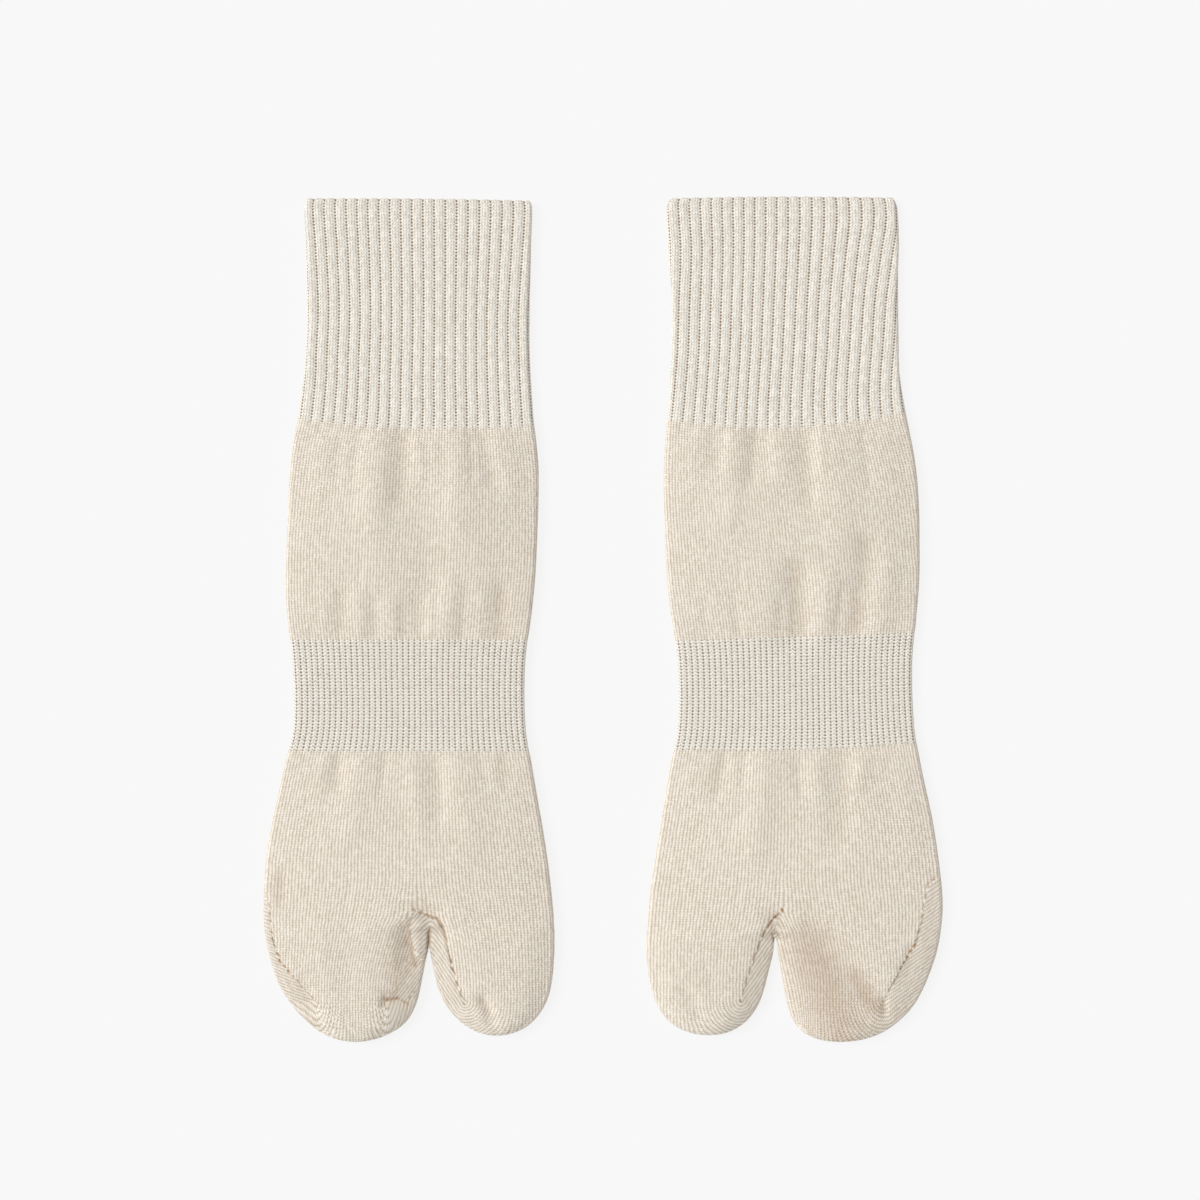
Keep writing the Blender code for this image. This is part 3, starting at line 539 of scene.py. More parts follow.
def parted(sock, x, along, pocket=0):
    """Where a place's wale would lie if the split had not parted the wales."""
    parting = sock.parting
    spread = smooth_step(along, parting.start, parting.end)
    away = x - parting.x
    above = 1 - smooth_step(along, parting.along, sock.fork.along)
    blur = SHARP_PARTING + above * SOFT_PARTING * spread * max(parting.left, parting.right)
    side = away / np.hypot(away, blur) if pocket == 0 else float(pocket)
    left = column(sock.edges, "left", along)
    right = column(sock.edges, "right", along)
    left_share = np.clip((x - left) / (parting.x - left), 0, 1)
    right_share = np.clip((right - x) / (right - parting.x), 0, 1)
    move = spread * np.where(side < 0, parting.left * left_share, parting.right * right_share)
    return x - side * move


def plain_wale(sock, x, along, pocket=0):
    """The wale at a place of the foot, where the wales fan out with its width."""
    x = parted(sock, x, along, pocket)
    left = column(sock.edges, "left", along)
    right = column(sock.edges, "right", along)
    radius = column(HEIGHTS, "fold", along) / 2
    flat = right - left - 2 * radius
    quarter = pi * radius / 2
    return WALES * (quarter + x - left - radius) / (flat + 2 * quarter)


def plain_course(sock, along):
    return (along - sock.courses["band_end"].middle) / PLAIN_COURSE


# %% Wales that turn round a seam's end
FULL_TURN = 0.25           # the inner share of a seam's reach where the turned wales count fully


def seam_x(seam, along):
    """How far across a seam lies at a distance from the mouth."""
    return through([place[1] for place in seam], [place[0] for place in seam], along)


def gore_knit(sock, gore, x, along, pocket):
    """Wale and course beside a seam, and how much they count there."""
    tip_x, tip_along = gore.seam[-1]
    inward = -gore.outward
    across = (x - tip_x) * inward
    down = along - tip_along
    down = np.where(down > 0, down * gore.squash, down)
    lean = radians(90 + gore.lean)
    angle = np.arctan2(down, across) % (2 * pi)
    square = across * cos(lean) + down * sin(lean)
    onward = down * cos(lean) - across * sin(lean)
    radius = np.hypot(across, down)
    below = down >= 0
    turning = below & (angle <= lean)
    beside = (x - seam_x(gore.seam, along)) * gore.outward > 0
    outside = (beside & ~below & (along >= gore.seam[0][1])) | (below & ~turning)
    here = (x - sock.fork.x) * gore.pocket > 0 if pocket == 0 else pocket == gore.pocket
    reach = np.where(turning, radius, square)
    run = np.where(turning, radius * angle, square * lean + onward)
    wale = plain_wale(sock, tip_x + inward * reach, tip_along, gore.pocket)
    course = plain_course(sock, tip_along) + run / PLAIN_COURSE
    fading = 1 - smooth_step(across, gore.reach * FULL_TURN, gore.reach)
    weight = np.where(turning, fading, 0.0)
    return wale, course, np.where(outside, 1.0, weight) * here


# %% Wales that arch over the head of the split
ROUND_HEAD = 1.2           # how round the head of the horseshoe is, mm


def horseshoe(arch, x, along):
    """How far a place is from the split, and how far round the horseshoe it lies."""
    height = arch.along - along
    beside = x - arch.x
    left_lean = radians(arch.left_lean)
    right_lean = radians(arch.right_lean)
    left = height * cos(left_lean) - beside * sin(left_lean)
    right = height * cos(right_lean) + beside * sin(right_lean)
    half = (right - left) / 2
    spread = np.sqrt(half ** 2 + ROUND_HEAD ** 2)
    share = 0.5 + 0.5 * half / spread
    run = (share * (beside * cos(right_lean) - height * sin(right_lean))
           + (1 - share) * (height * sin(left_lean) + beside * cos(left_lean)))
    return (left + right) / 2 + spread, run


def arch_knit(sock, arch, x, along, pocket):
    """Wale and course over the split, and how much they count there."""
    away, run = horseshoe(arch, x, along)
    start_away, start_run = horseshoe(arch, arch.anchor_x, arch.anchor_along)
    start_wale = plain_wale(sock, arch.anchor_x, arch.anchor_along, 1)
    wales_per_mm = plain_wale(sock, arch.anchor_x + 1, arch.anchor_along, 1) - start_wale
    wale = start_wale + arch.way * (away - start_away) * wales_per_mm
    onward = arch.way * (run - start_run)
    if arch.way < 0:
        onward = onward - (away - start_away) * radians(90 + arch.right_lean)
    course = plain_course(sock, arch.anchor_along) + onward / PLAIN_COURSE
    inside = (along > arch.left_edge[0][1]) & (along < arch.left_edge[-1][1])
    if pocket != 1:
        inside = inside & (x > seam_x(arch.left_edge, along))
    right_edge = seam_x(arch.right_edge, along)
    if arch.softness:
        weight = 1 - smooth_step(x, right_edge - arch.softness, right_edge)
    else:
        weight = x < right_edge
    return wale, course, weight * inside


def foot_knit(sock, x, along, pocket=0):
    """Wale and course on a foot, for a place on the tube (0) or on one toe pocket (-1 or 1)."""
    wale = plain_wale(sock, x, along, pocket)
    course = plain_course(sock, along)
    for gore in sock.gores:
        gore_wale, gore_course, weight = gore_knit(sock, gore, x, along, pocket)
        wale = wale + (gore_wale - wale) * weight
        course = course + (gore_course - course) * weight
    arch_wale, arch_course, weight = arch_knit(sock, sock.arch, x, along, pocket)
    return wale + (arch_wale - wale) * weight, course + (arch_course - course) * weight


middle_wale = float(foot_knit(SOCKS[0], np.array(0.0), np.array(200.0))[0])
print(f"a stitch in the middle of the left foot is in wale {middle_wale:.1f} of {WALES}")

# %% [markdown]
# ## A zone of knit as a mesh
#
# A zone is a closed shell: a finely divided outer skin, a plain inner skin and a rim at each open
# end. It could be one thin sheet with a Solidify modifier, but then the ribs would show on the
# inside too. Here the two skins are made on their own, and the rim joins them. The columns of
# points stand close together on the top face and far apart on the underside, which rests on the
# table.

# %% Columns of points round a tube
PER_WALE = 3               # columns of points to a wale on the top face
UNDER_START = 3.5          # wales from a side fold to the first wide column underneath


def wale_columns(under, extra=()):
    """Columns in wales from the left side fold, starting from the middle of the underside."""
    face = np.arange(WALES * PER_WALE) / PER_WALE
    side = [WALES, WALES + 1.0, WALES + 2.0, 2 * WALES - 2.0, 2 * WALES - 1.0]
    beneath = np.linspace(WALES + UNDER_START, 2 * WALES - UNDER_START, under)
    wales = np.concatenate([face, side, beneath, extra]) % (2 * WALES)
    wales[wales > 1.5 * WALES] -= 2 * WALES
    return np.unique(np.round(wales, 4))


TUBE_UNDER = 14            # wide columns underneath a cuff, a leg or a band
print("columns round a cuff:", len(wale_columns(TUBE_UNDER)))

# %% A shell from skins and rims
class Shell:
    """The points of one zone, with each one's place in the knit and its painted shade."""

    def __init__(self, sock):
        self.sock = sock
        self.points = []
        self.knit = []
        self.shade = []
        self.quads = []
        self.tips = []
        self.count = 0

    def add(self, points, wale, course, shade=0.0):
        """Add a grid of points and give back their numbers."""
        shape = points.shape[:2]
        self.points.append(points.reshape(-1, 3))
        knit = np.stack(np.broadcast_arrays(wale, course), axis=-1)
        self.knit.append(np.broadcast_to(knit, shape + (2,)).reshape(-1, 2))
        self.shade.append(np.broadcast_to(shade, shape).reshape(-1))
        numbers = np.arange(self.count, self.count + shape[0] * shape[1]).reshape(shape)
        self.count += shape[0] * shape[1]
        return numbers

    def skin(self, numbers):
        """Faces between rings that follow one another."""
        after = np.roll(numbers, -1, axis=1)
        quads = np.stack([numbers[:-1], after[:-1], after[1:], numbers[1:]], axis=-1)
        self.quads.append(quads.reshape(-1, 4))

    def fan(self, ring, tip):
        """Triangles from a ring to one point."""
        for here, after in zip(ring, np.roll(ring, -1)):
            self.tips.append((int(here), int(after), int(tip)))

    def rim(self, outer, inner, bulge=0.0):
        """Close an open end. With a bulge, the rim rounds out like a folded edge."""
        rings = [outer]
        if bulge:
            every = np.concatenate(self.points)
            knit = np.concatenate(self.knit)
            middle = (every[outer] + every[inner]) / 2
            half = (every[outer] - every[inner]) / 2
            for degrees in range(30, 180, 30):
                angle = radians(degrees)
                ring = middle + half * cos(angle)
                ring[:, 1] += bulge * sin(angle)
                wale, course = knit[outer].T
                rings += list(self.add(ring[None], wale, course - abs(bulge) * (1 - cos(angle))))
        rings.append(inner)
        self.skin(np.stack(rings))


# %% From a shell to an object
SEAM_JUMP = 1.2            # a face over more wales than this lies across a seam
SHARP_ANGLE = 65           # degrees between faces from which an edge looks sharp


def knit_corners(shell, corner):
    """The place in the knit of each corner of each face."""
    spots = np.concatenate(shell.knit)[corner]
    four = 4 * sum(len(quads) for quads in shell.quads)
    wale = spots[:four, 0].reshape(-1, 4)
    # a face that closes the tube has the last wale on one side and the first on the other
    wrapped = (wale.max(axis=1) - wale.min(axis=1) > WALES)[:, None] & (wale < 0)
    wale[wrapped] += 2 * WALES
    # a face over a seam takes the stitch of its first corner, so that nothing is smeared
    on_seam = np.ptp(wale, axis=1) > SEAM_JUMP
    spots[:four].reshape(-1, 4, 2)[on_seam] = spots[:four:4][on_seam][:, None]
    return spots


def build(shell, name, material):
    """Make the object of a shell, with the knit as its UV map and the painted shade as an
    attribute.
    """
    points = np.concatenate(shell.points)
    place = np.empty_like(points)
    place[:, 0] = (shell.sock.centre + points[:, 0]) * MM
    place[:, 1] = (SOCK_LENGTH / 2 - points[:, 1]) * MM
    place[:, 2] = points[:, 2] * MM
    quads = np.concatenate(shell.quads)
    mesh = bpy.data.meshes.new(name)
    mesh.from_pydata(place.tolist(), [], quads.tolist() + shell.tips)
    corner = np.empty(len(mesh.loops), int)
    mesh.loops.foreach_get("vertex_index", corner)
    spots = knit_corners(shell, corner).astype(np.float32)
    mesh.uv_layers.new(name="knit").data.foreach_set("uv", spots.ravel())
    shade = np.concatenate(shell.shade).astype(np.float32)
    mesh.attributes.new("shade", "FLOAT", "POINT").data.foreach_set("value", shade)
    mesh.shade_smooth()
    mesh.set_sharp_from_angle(angle=radians(SHARP_ANGLE))
    mesh.materials.append(material)
    piece = bpy.data.objects.new(name, mesh)
    bpy.context.scene.collection.objects.link(piece)
    print(f"{name}: {2 * len(quads) + len(shell.tips)} triangles")
    return piece


# %% [markdown]
# ## The finish: cotton stitches
#
# One finish serves every zone, with a rib count of its own. A stitch is two slanting legs of
# yarn, so its height and colour come from a V drawn in the knit map: bright along the legs, and
# painted tan shade in the gaps between them, where the yarn lies low. A rib adds a sunken wale,
# where the cross bars of yarn leave a small hole at each course, painted dark with shade. A little
# noise bends the grid, because no two stitches are alike.
# Modelling each stitch would take millions of faces, and a picture of knit would repeat. The base
# stays rough with a soft sheen, as dry cotton is.

# %% Helpers for writing a finish
def rgb(red, green, blue):
    """A colour given as screen values from 0 to 255, as Blender's linear colour."""
    linear = []
    for value in (red, green, blue):
        value = value / 255
        linear.append(value / 12.92 if value <= 0.04045 else ((value + 0.055) / 1.055) ** 2.4)
    return (*linear, 1.0)


class Finish:
    """A material with short ways to add its nodes."""

    def __init__(self, name):
        self.material = bpy.data.materials.new(name)
        self.material.use_nodes = True
        self.tree = self.material.node_tree
        self.shader = self.tree.nodes["Principled BSDF"]

    def node(self, kind, **settings):
        node = self.tree.nodes.new(kind)
        for key, value in settings.items():
            setattr(node, key, value)
        return node

    def feed(self, socket, value):
        """Link a socket to another one, or set its constant."""
        if isinstance(value, bpy.types.NodeSocket):
            self.tree.links.new(value, socket)
        else:
            socket.default_value = value

    def surface(self, **constants):
        """Set constants of the shader. Their names have _ where the sockets' names have spaces."""
        for name, value in constants.items():
            self.shader.inputs[name.replace("_", " ")].default_value = value

    def maths(self, operation, *values):
        node = self.node("ShaderNodeMath", operation=operation)
        for socket, value in zip(node.inputs, values):
            self.feed(socket, value)
        return node.outputs[0]

    def soft(self, value, low, high, low_out=0.0, high_out=1.0):
        """A soft S from low_out to high_out as the value runs from low to high."""
        node = self.node("ShaderNodeMapRange", interpolation_type="SMOOTHSTEP")
        for key, given in (("Value", value), ("From Min", low), ("From Max", high),
                           ("To Min", low_out), ("To Max", high_out)):
            self.feed(node.inputs[key], given)
        return node.outputs[0]

    def blend(self, factor, first, second):
        node = self.node("ShaderNodeMix", data_type="RGBA")
        for key, given in ("Factor", factor), ("A", first), ("B", second):
            self.feed(node.inputs[key], given)
        return node.outputs["Result"]

    def noise(self, place, scale, detail):
        node = self.node("ShaderNodeTexNoise")
        for key, given in ("Vector", place), ("Scale", scale), ("Detail", detail):
            self.feed(node.inputs[key], given)
        return node.outputs["Fac"]


# %% Stitches drawn in the knit map
SWAY = 0.35                # how far noise moves a wale aside, in wales
LAG = 0.9                  # how far it moves a course on, in courses
SWAY_SCALE = 300.0         # waves of the noise to a metre
LAG_SCALE = 620.0
SLANT = 0.6                # how far a leg of yarn slants down across half a wale, in courses
RIDGE_MEAN = 0.67          # the mean height of the rounded wale below
YARN_MEAN = 0.64           # the mean height of the legs of yarn
GROOVE_FLOOR = 0.2         # the share of a groove that is its level floor
BEAT = 0.9                 # how strongly the holes keep to the courses
HOLE_FROM = -0.4           # a hole starts to show at this beat
HOLE_FULL = 0.8            # and is full at this one

# light is the yarn's own cream; dark is painted tan shade in the gaps between legs of yarn, and gap
# is painted shade in the holes of a groove
Knit = namedtuple("Knit", "light dark yarn ridge chance lift ribs groove gap",
                  defaults=(0, 0.0, None))


def stitch_height(finish, knit, place, spot):
    """How high the yarn stands in a stitch, about 0 to 1, which also sets its painted light and
    shade.
    """
    maths = finish.maths

    # bend the grid a little, so that the wales sway and the courses are uneven
    sway = maths("SUBTRACT", finish.noise(place, SWAY_SCALE, 1.0), 0.5)
    lag = maths("SUBTRACT", finish.noise(place, LAG_SCALE, 1.0), 0.5)
    wale = maths("MULTIPLY_ADD", sway, SWAY, spot.outputs[0])
    course = maths("MULTIPLY_ADD", lag, LAG, spot.outputs[1])

    # two legs of yarn in each wale, which slant towards each other
    off_middle = maths("ABSOLUTE", maths("MULTIPLY_ADD", maths("FRACT", wale), 2.0, -1.0))
    slant = maths("MULTIPLY_ADD", off_middle, SLANT, course)
    leg = maths("MULTIPLY", wale, 2.0)
    yarn = maths("SINE", maths("MULTIPLY", maths("FRACT", slant), pi))
    ridge = maths("SUBTRACT", 1.0, maths("MULTIPLY", off_middle, off_middle))

    # each leg of yarn catches the light by a different amount
    cell = finish.node("ShaderNodeCombineXYZ")
    finish.feed(cell.inputs[0], maths("FLOOR", leg))
    finish.feed(cell.inputs[1], maths("FLOOR", slant))
    chance = finish.node("ShaderNodeTexWhiteNoise", noise_dimensions="2D")
    finish.feed(chance.inputs["Vector"], cell.outputs[0])
    chance = maths("SUBTRACT", chance.outputs["Value"], 0.5)

    stitch = maths("MULTIPLY", ridge, knit.ridge)
    stitch = maths("MULTIPLY_ADD", yarn, knit.yarn, stitch)
    stitch = maths("MULTIPLY_ADD", chance, knit.chance, stitch)
    middle = 0.5 + knit.lift - knit.ridge * RIDGE_MEAN - knit.yarn * YARN_MEAN
    return maths("ADD", stitch, middle)


def groove_holes(finish, knit, place, spot):
    """1 in the small holes of a sunken wale, one to each course, and 0 elsewhere."""
    maths = finish.maths
    from_groove = maths("PINGPONG", spot.outputs[0], knit.ribs / 2)
    sunk = finish.soft(from_groove, knit.groove * GROOVE_FLOOR, knit.groove, 1.0, 0.0)
    beat = maths("COSINE", maths("MULTIPLY", spot.outputs[1], 2 * pi))
    uneven = maths("MULTIPLY_ADD", finish.noise(place, SWAY_SCALE, 3.0), 1.0, -0.5)
    beat = maths("MULTIPLY_ADD", beat, BEAT, uneven)
    return maths("MULTIPLY", sunk, finish.soft(beat, HOLE_FROM, HOLE_FULL))


# %% The cotton knit
RELIEF = 0.22              # height of the stitches, mm
HOLE_DEPTH = 0.7           # depth of a hole and height of the fluff, as shares of that
FLUFF_HEIGHT = 0.15
FLUFF_SCALE = 2400.0
PATCH_SCALE = 45.0
FLUFF_TONE = 0.2           # how much the fluff and the wide patches change the tone
PATCH_TONE = 0.04
# the colour of painted tan shade, blended in where the shade attribute is high
PAINTED_SHADE = rgb(152, 104, 18)


def cotton_knit(name, knit):
    """Cotton knit, plain, or with a sunken wale every so many wales."""
    finish = Finish(name)
    maths = finish.maths
    place = finish.node("ShaderNodeTexCoord").outputs["Object"]
    spot = finish.node("ShaderNodeSeparateXYZ")
    finish.feed(spot.inputs[0], finish.node("ShaderNodeUVMap", uv_map="knit").outputs["UV"])
    stitch = stitch_height(finish, knit, place, spot)
    hole = groove_holes(finish, knit, place, spot) if knit.ribs else None

    fluff = finish.noise(place, FLUFF_SCALE, 2.0)
    patch = finish.noise(place, PATCH_SCALE, 3.0)
    tone = maths("MULTIPLY_ADD", maths("SUBTRACT", fluff, 0.5), FLUFF_TONE, stitch)
    tone = maths("MULTIPLY_ADD", maths("SUBTRACT", patch, 0.5), PATCH_TONE, tone)
    # painted shade: the colour runs from dark where the yarn lies low to the light cream on its
    # high legs
    colour = finish.blend(finish.soft(tone, 0.0, 1.0), knit.dark, knit.light)
    # each hole of a groove is painted the gap colour, as its shade
    if knit.ribs:
        colour = finish.blend(hole, colour, knit.gap)
    # painted shade: the shade attribute darkens creases, seam holes, the slit, hollows and the fork
    # to tan
    shade = finish.node("ShaderNodeAttribute", attribute_name="shade").outputs["Fac"]
    colour = finish.blend(finish.soft(shade, 0.05, 1.0), colour, PAINTED_SHADE)
    finish.feed(finish.shader.inputs["Base Color"], colour)

    height = maths("MULTIPLY_ADD", hole, -HOLE_DEPTH, stitch) if knit.ribs else stitch
    height = maths("MULTIPLY_ADD", fluff, FLUFF_HEIGHT, height)
    bump = finish.node("ShaderNodeBump")
    finish.feed(bump.inputs["Height"], height)
    bump.inputs["Strength"].default_value = 1.0
    bump.inputs["Distance"].default_value = RELIEF * MM
    finish.feed(finish.shader.inputs["Normal"], bump.outputs["Normal"])
    finish.surface(Roughness=0.95, Specular_IOR_Level=0.2, Sheen_Weight=0.12, Sheen_Roughness=0.5)
    return finish.material


PLAIN_KNIT = Knit(light=rgb(255, 248, 237), dark=rgb(182, 163, 136), yarn=0.37, ridge=0.42,
                  chance=0.25, lift=0.09)
CUFF_KNIT = Knit(light=rgb(255, 251, 242), dark=rgb(160, 144, 120), yarn=0.3, ridge=0.3,
                 chance=0.24, lift=0.17, ribs=4, groove=0.6, gap=rgb(140, 112, 78))
BAND_KNIT = Knit(light=rgb(255, 250, 240), dark=rgb(180, 166, 146), yarn=0.9, ridge=0.15,
                 chance=0.2, lift=0.36, ribs=2, groove=0.46, gap=rgb(130, 102, 66))
FINISHES = {
    "plain_knit": cotton_knit("plain_cotton_knit", PLAIN_KNIT),
    "cuff_rib": cotton_knit("wide_rib_knit", CUFF_KNIT),
    "band_rib": cotton_knit("fine_rib_knit", BAND_KNIT),
}
print("finishes:", ", ".join(FINISHES))

# %% [markdown]
# ## The ribs
#
# The cuff grips the leg, so it is ribbed: three raised wales, then one sunken one, 21 times over a
# face. The band round the arch is ribbed more finely, one wale up and one down. A rib is a real
# shape and not only a finish, so the sunken wales are cut into the points of the top face. Round
# the side folds and underneath, where they hardly show, the finish alone draws them.

# %% Shape of a rib
Rib = namedtuple("Rib", "wales groove depth crown pit courses")
CUFF_RIB = Rib(wales=4, groove=0.9, depth=0.1, crown=0.18, pit=0.1, courses=70)
BAND_RIB = Rib(wales=2, groove=0.6, depth=0.06, crown=0.08, pit=0.1, courses=34)
WALE_VALLEY = 0.05         # depth of the valley between two wales, mm
FACE_FADE = 1.5            # over how many wales the relief fades out at a side fold


def on_face(wale):
    """1 on the top face, and 0 past the side folds."""
    return (smooth_step(wale, -FACE_FADE, 0.0)
            * (1 - smooth_step(wale, WALES, WALES + FACE_FADE)))


def wave(count):
    """A wave from 0 to 1 that is 1 at every whole count."""
    return 0.5 + 0.5 * np.cos(2 * pi * count)


def in_groove(rib, wale):
    """1 in the middle of a sunken wale, and 0 on the ribs beside it."""
    from_groove = np.abs((wale + rib.wales / 2) % rib.wales - rib.wales / 2)
    return 1 - smooth_step(from_groove, 0.0, rib.groove)


def below_rib(rib, wale):
    """How far below the top of its rib a wale lies."""
    return rib.depth * in_groove(rib, wale) + rib.crown * wave(wale / rib.wales)


def rib_lift(rib, wale, course):
    """The lift of the outer skin over a ribbed face."""
    holes = rib.pit * in_groove(rib, wale) * wave(course)
    return -(below_rib(rib, wale) + WALE_VALLEY * wave(wale) + holes)


print(f"a cuff has {WALES // CUFF_RIB.wales} ribs on a face, a band {WALES // BAND_RIB.wales}")

# %% Ribs that bend
WALE_WIDTH = 0.93          # of a wale on a cuff, mm


def bent_wale(sock, place, along):
    """The wale found at a place round the tube, where the ribs bend to one side."""
    left = column(sock.bends, "left", along)
    middle = column(sock.bends, "middle", along)
    right = column(sock.bends, "right", along)
    share = place / WALES
    bend = left + (middle - left) * smooth_step(share, 0.0, 0.5)
    bend = bend + (right - middle) * smooth_step(share, 0.5, 1.0)
    beneath = smooth_step(np.abs(share - 0.5), 0.5, 1.0)
    bend = bend + ((left + right) / 2 - bend) * beneath
    return place - bend / WALE_WIDTH


# %% [markdown]
# ## The cuff and the arch band
#
# Both are the same kind of straight tube, so one function makes them. The grid has three rings to
# a course, so that each hole in a groove falls on a ring of points. The mouth of the cuff is a
# folded edge: its rim is rounded, its corners drop a little, and each groove draws it in.

# %% The edge of the mouth
CORNER = 2.4               # how far from a side fold the corner begins, mm
CORNER_DROP = 1.3
SCALLOP = 0.4
EDGE_DEPTH = 4.0           # how far down the cuff the scallops reach
MOUTH_BULGE = 0.6


def shape_mouth(points, rib, place, wale, edge):
    """Round the corners of the mouth, and draw its edge in a little at each groove."""
    to_side = WALE_WIDTH * np.minimum(place % WALES, WALES - place % WALES)
    corner = CORNER_DROP * (1 - np.clip(to_side / CORNER, 0, 1)) ** 2
    near = 1 - smooth_step(points[..., 1] - edge, 0.0, EDGE_DEPTH)
    points[..., 1] += (corner + SCALLOP * in_groove(rib, wale) * on_face(place)) * near
    return points


# %% Both skins of a straight zone
Straight = namedtuple("Straight", "start end courses rings inside_rings crowding wall shaded")


def straight_skin(shell, zone, first, shares, lift_of, mouth_rib):
    """Add one skin of a straight zone. The outer one has a lift_of its own, the inner has none."""
    sock = shell.sock
    places = wale_columns(TUBE_UNDER)
    rows = tube_rows(sock, first, sock.courses[zone.end], shares)
    wales = bent_wale(sock, places, rows.left_along)
    course = shares[:, None] * zone.courses
    lift = lift_of(places, wales, course) if lift_of else -zone.wall
    points = section_points(sock, rows, turn_at(rows, places), lift, bool(lift_of))
    if mouth_rib:
        points = shape_mouth(points, mouth_rib, places, wales, first.middle)
    # only the leg paints shade into the valleys of its creases
    shaded = lift_of and zone.shaded
    shade = valley_shade(sock, points[..., 0], points[..., 1]) if shaded else 0.0
    return shell.add(points, wales, course, shade)


def straight_zone(sock, zone, lift_of, mouth_rib=None, bulge=0.0):
    """A tube with a plain inside. With a bulge, its first end is a rounded mouth."""
    shell = Shell(sock)
    first = Course(*[place + bulge for place in sock.courses[zone.start]])
    shares = np.linspace(0, 1, zone.rings)
    outer = straight_skin(shell, zone, first, shares, lift_of, mouth_rib)
    shares = np.linspace(0, 1, zone.inside_rings) ** zone.crowding
    inner = straight_skin(shell, zone, first, shares, None, mouth_rib)
    shell.skin(outer)
    shell.skin(inner[::-1])
    shell.rim(inner[0], outer[0], -bulge)
    shell.rim(outer[-1], inner[-1])
    return shell


# %% The cuff and the band
RINGS_PER_COURSE = 3
MOUTH_CROWDING = 1.5       # how much closer the inner rings stand near the first end


def ribbed_zone(sock, start, end, rib, mouth_rib=None, bulge=0.0):
    rings = RINGS_PER_COURSE * rib.courses + 1
    zone = Straight(start, end, rib.courses, rings, inside_rings=14, crowding=MOUTH_CROWDING,
                    wall=RIB_WALL, shaded=False)

    def lift_of(places, wales, course):
        return rib_lift(rib, wales, course) * on_face(places)

    return straight_zone(sock, zone, lift_of, mouth_rib, bulge)


def cuff(sock, start, end):
    return ribbed_zone(sock, start, end, CUFF_RIB, CUFF_RIB, MOUTH_BULGE)


def arch_band(sock, start, end):
    return ribbed_zone(sock, start, end, BAND_RIB)


print("points of one cuff:", cuff(SOCKS[0], "mouth", "cuff_end").count)

# %% [markdown]
# ## The plain leg
#
# The leg is plain knit, and it is wider than the ribs beside it, so it gathers where it meets
# them. The gathers are in the sections already, and their hollows get a painted tan shade.
# Shallow valleys between the wales are added here, and the grooves of the ribs run on into the
# plain knit and fade out over a few courses.

# %% The leg
CUFF_FADE = 4.0            # over how many courses the cuff's ribs fade out in plain knit
BAND_FADE = 3.0


def leg(sock, start, end):
    courses = (sock.courses[end].middle - sock.courses[start].middle) / PLAIN_COURSE
    zone = Straight(start, end, courses, rings=150, inside_rings=16, crowding=1.0, wall=WALL,
                    shaded=True)

    def lift_of(places, wales, course):
        return -on_face(places) * (
            WALE_VALLEY * wave(wales)
            + below_rib(CUFF_RIB, wales) * (1 - smooth_step(course, 0.0, CUFF_FADE))
            + below_rib(BAND_RIB, wales) * smooth_step(course, courses - BAND_FADE, courses))

    return straight_zone(sock, zone, lift_of)


# %% [markdown]
# ## The foot and its two toe pockets
#
# Down to the split the foot is a tube like the leg. There its section parts in two. A small
# saddle of cloth joins the top face to the underside in the fork, and each half goes on as a toe
# pocket that closes at its own tip. Both skins are made this way, one inside the other, and the
# marks of the seams are pressed into the outer one. Joining three tubes with a Boolean would leave
# a hard line and a tangle of small faces in the fork, and here the rings just run on.

# %% Rows of a toe pocket
def round_off(distance, length):
    """A quarter circle: 0 at a tip, 1 from a length away from it."""
    return np.sqrt(1 - (1 - np.clip(distance / length, 0, 1)) ** 2)


def toe_rows(table, at, depth):
    """Rows of a toe pocket at places between the lines of its table, on the skin at a depth."""
    knots = np.arange(len(table))

    def line(field, offset=0.0):
        return through(knots, [getattr(row, field) for row in table], at[:, None] + offset)

    step = 0.02
    sides = {}
    for side, way in (("left", 1), ("right", -1)):
        run_x = line(side + "_x", step) - line(side + "_x", -step)
        run_along = line(side + "_along", step) - line(side + "_along", -step)
        length = np.hypot(run_x, run_along)
        sides[side] = (line(side + "_x") + depth * (way * run_along / length - way),
                       line(side + "_along") - depth * way * run_x / length)
    left_x, left_along = sides["left"]
    right_x, right_along = sides["right"]
    middle = (left_along + right_along) / 2
    to_tip = table[-1].left_along - depth - middle
    full = column(HEIGHTS, "fold", middle)
    rounding = round_off(to_tip, full / 2 - depth)
    crown = column(HEIGHTS, "crown", middle) * round_off(to_tip, TOE_ROUNDING)
    return Rows(left_x, left_along, right_x, right_along, 0.0 * middle,
                2 * (depth + rounding * (full / 2 - depth)), crown, full / 2)


# %% A section rolled out flat
def rolled_out(rows, turn):
    """How far across a place would lie with the side folds and the underside opened out."""
    radius = rows.fold / 2
    flat = rows.right_x - rows.left_x - rows.fold
    turn = turn % 4
    left = (rows.left_x + radius - pi * radius * np.minimum(4 - turn, 1)
            - flat * np.maximum(3 - turn, 0))
    right = (rows.right_x - radius + pi * radius * np.minimum(turn - 1, 1)
             + flat * np.maximum(turn - 2, 0))
    top = rows.left_x + radius + flat * turn
    return np.select([turn <= 1, turn < 2.5], [top, right], left)


# %% [markdown]
# ## One skin of the forked foot
#
# A skin starts as rings round the tube. At the fork its last ring is cut in two between the wale
# over the split and the one under it, and both halves are closed by the same saddle. A few rings
# then ease from that cut to the first true ring of a pocket, so that no kink shows.

# %% The marks pressed into a skin
Skin = namedtuple("Skin", "tube_rings toe_rings depth fork_wall outside")
PRESS_FROM, PRESS_FULL = 1.5, 2.6      # heights at which a mark starts to press in, and does fully
SHADE_FROM, SHADE_FULL = 0.05, 0.5     # and the same for its shade, mm


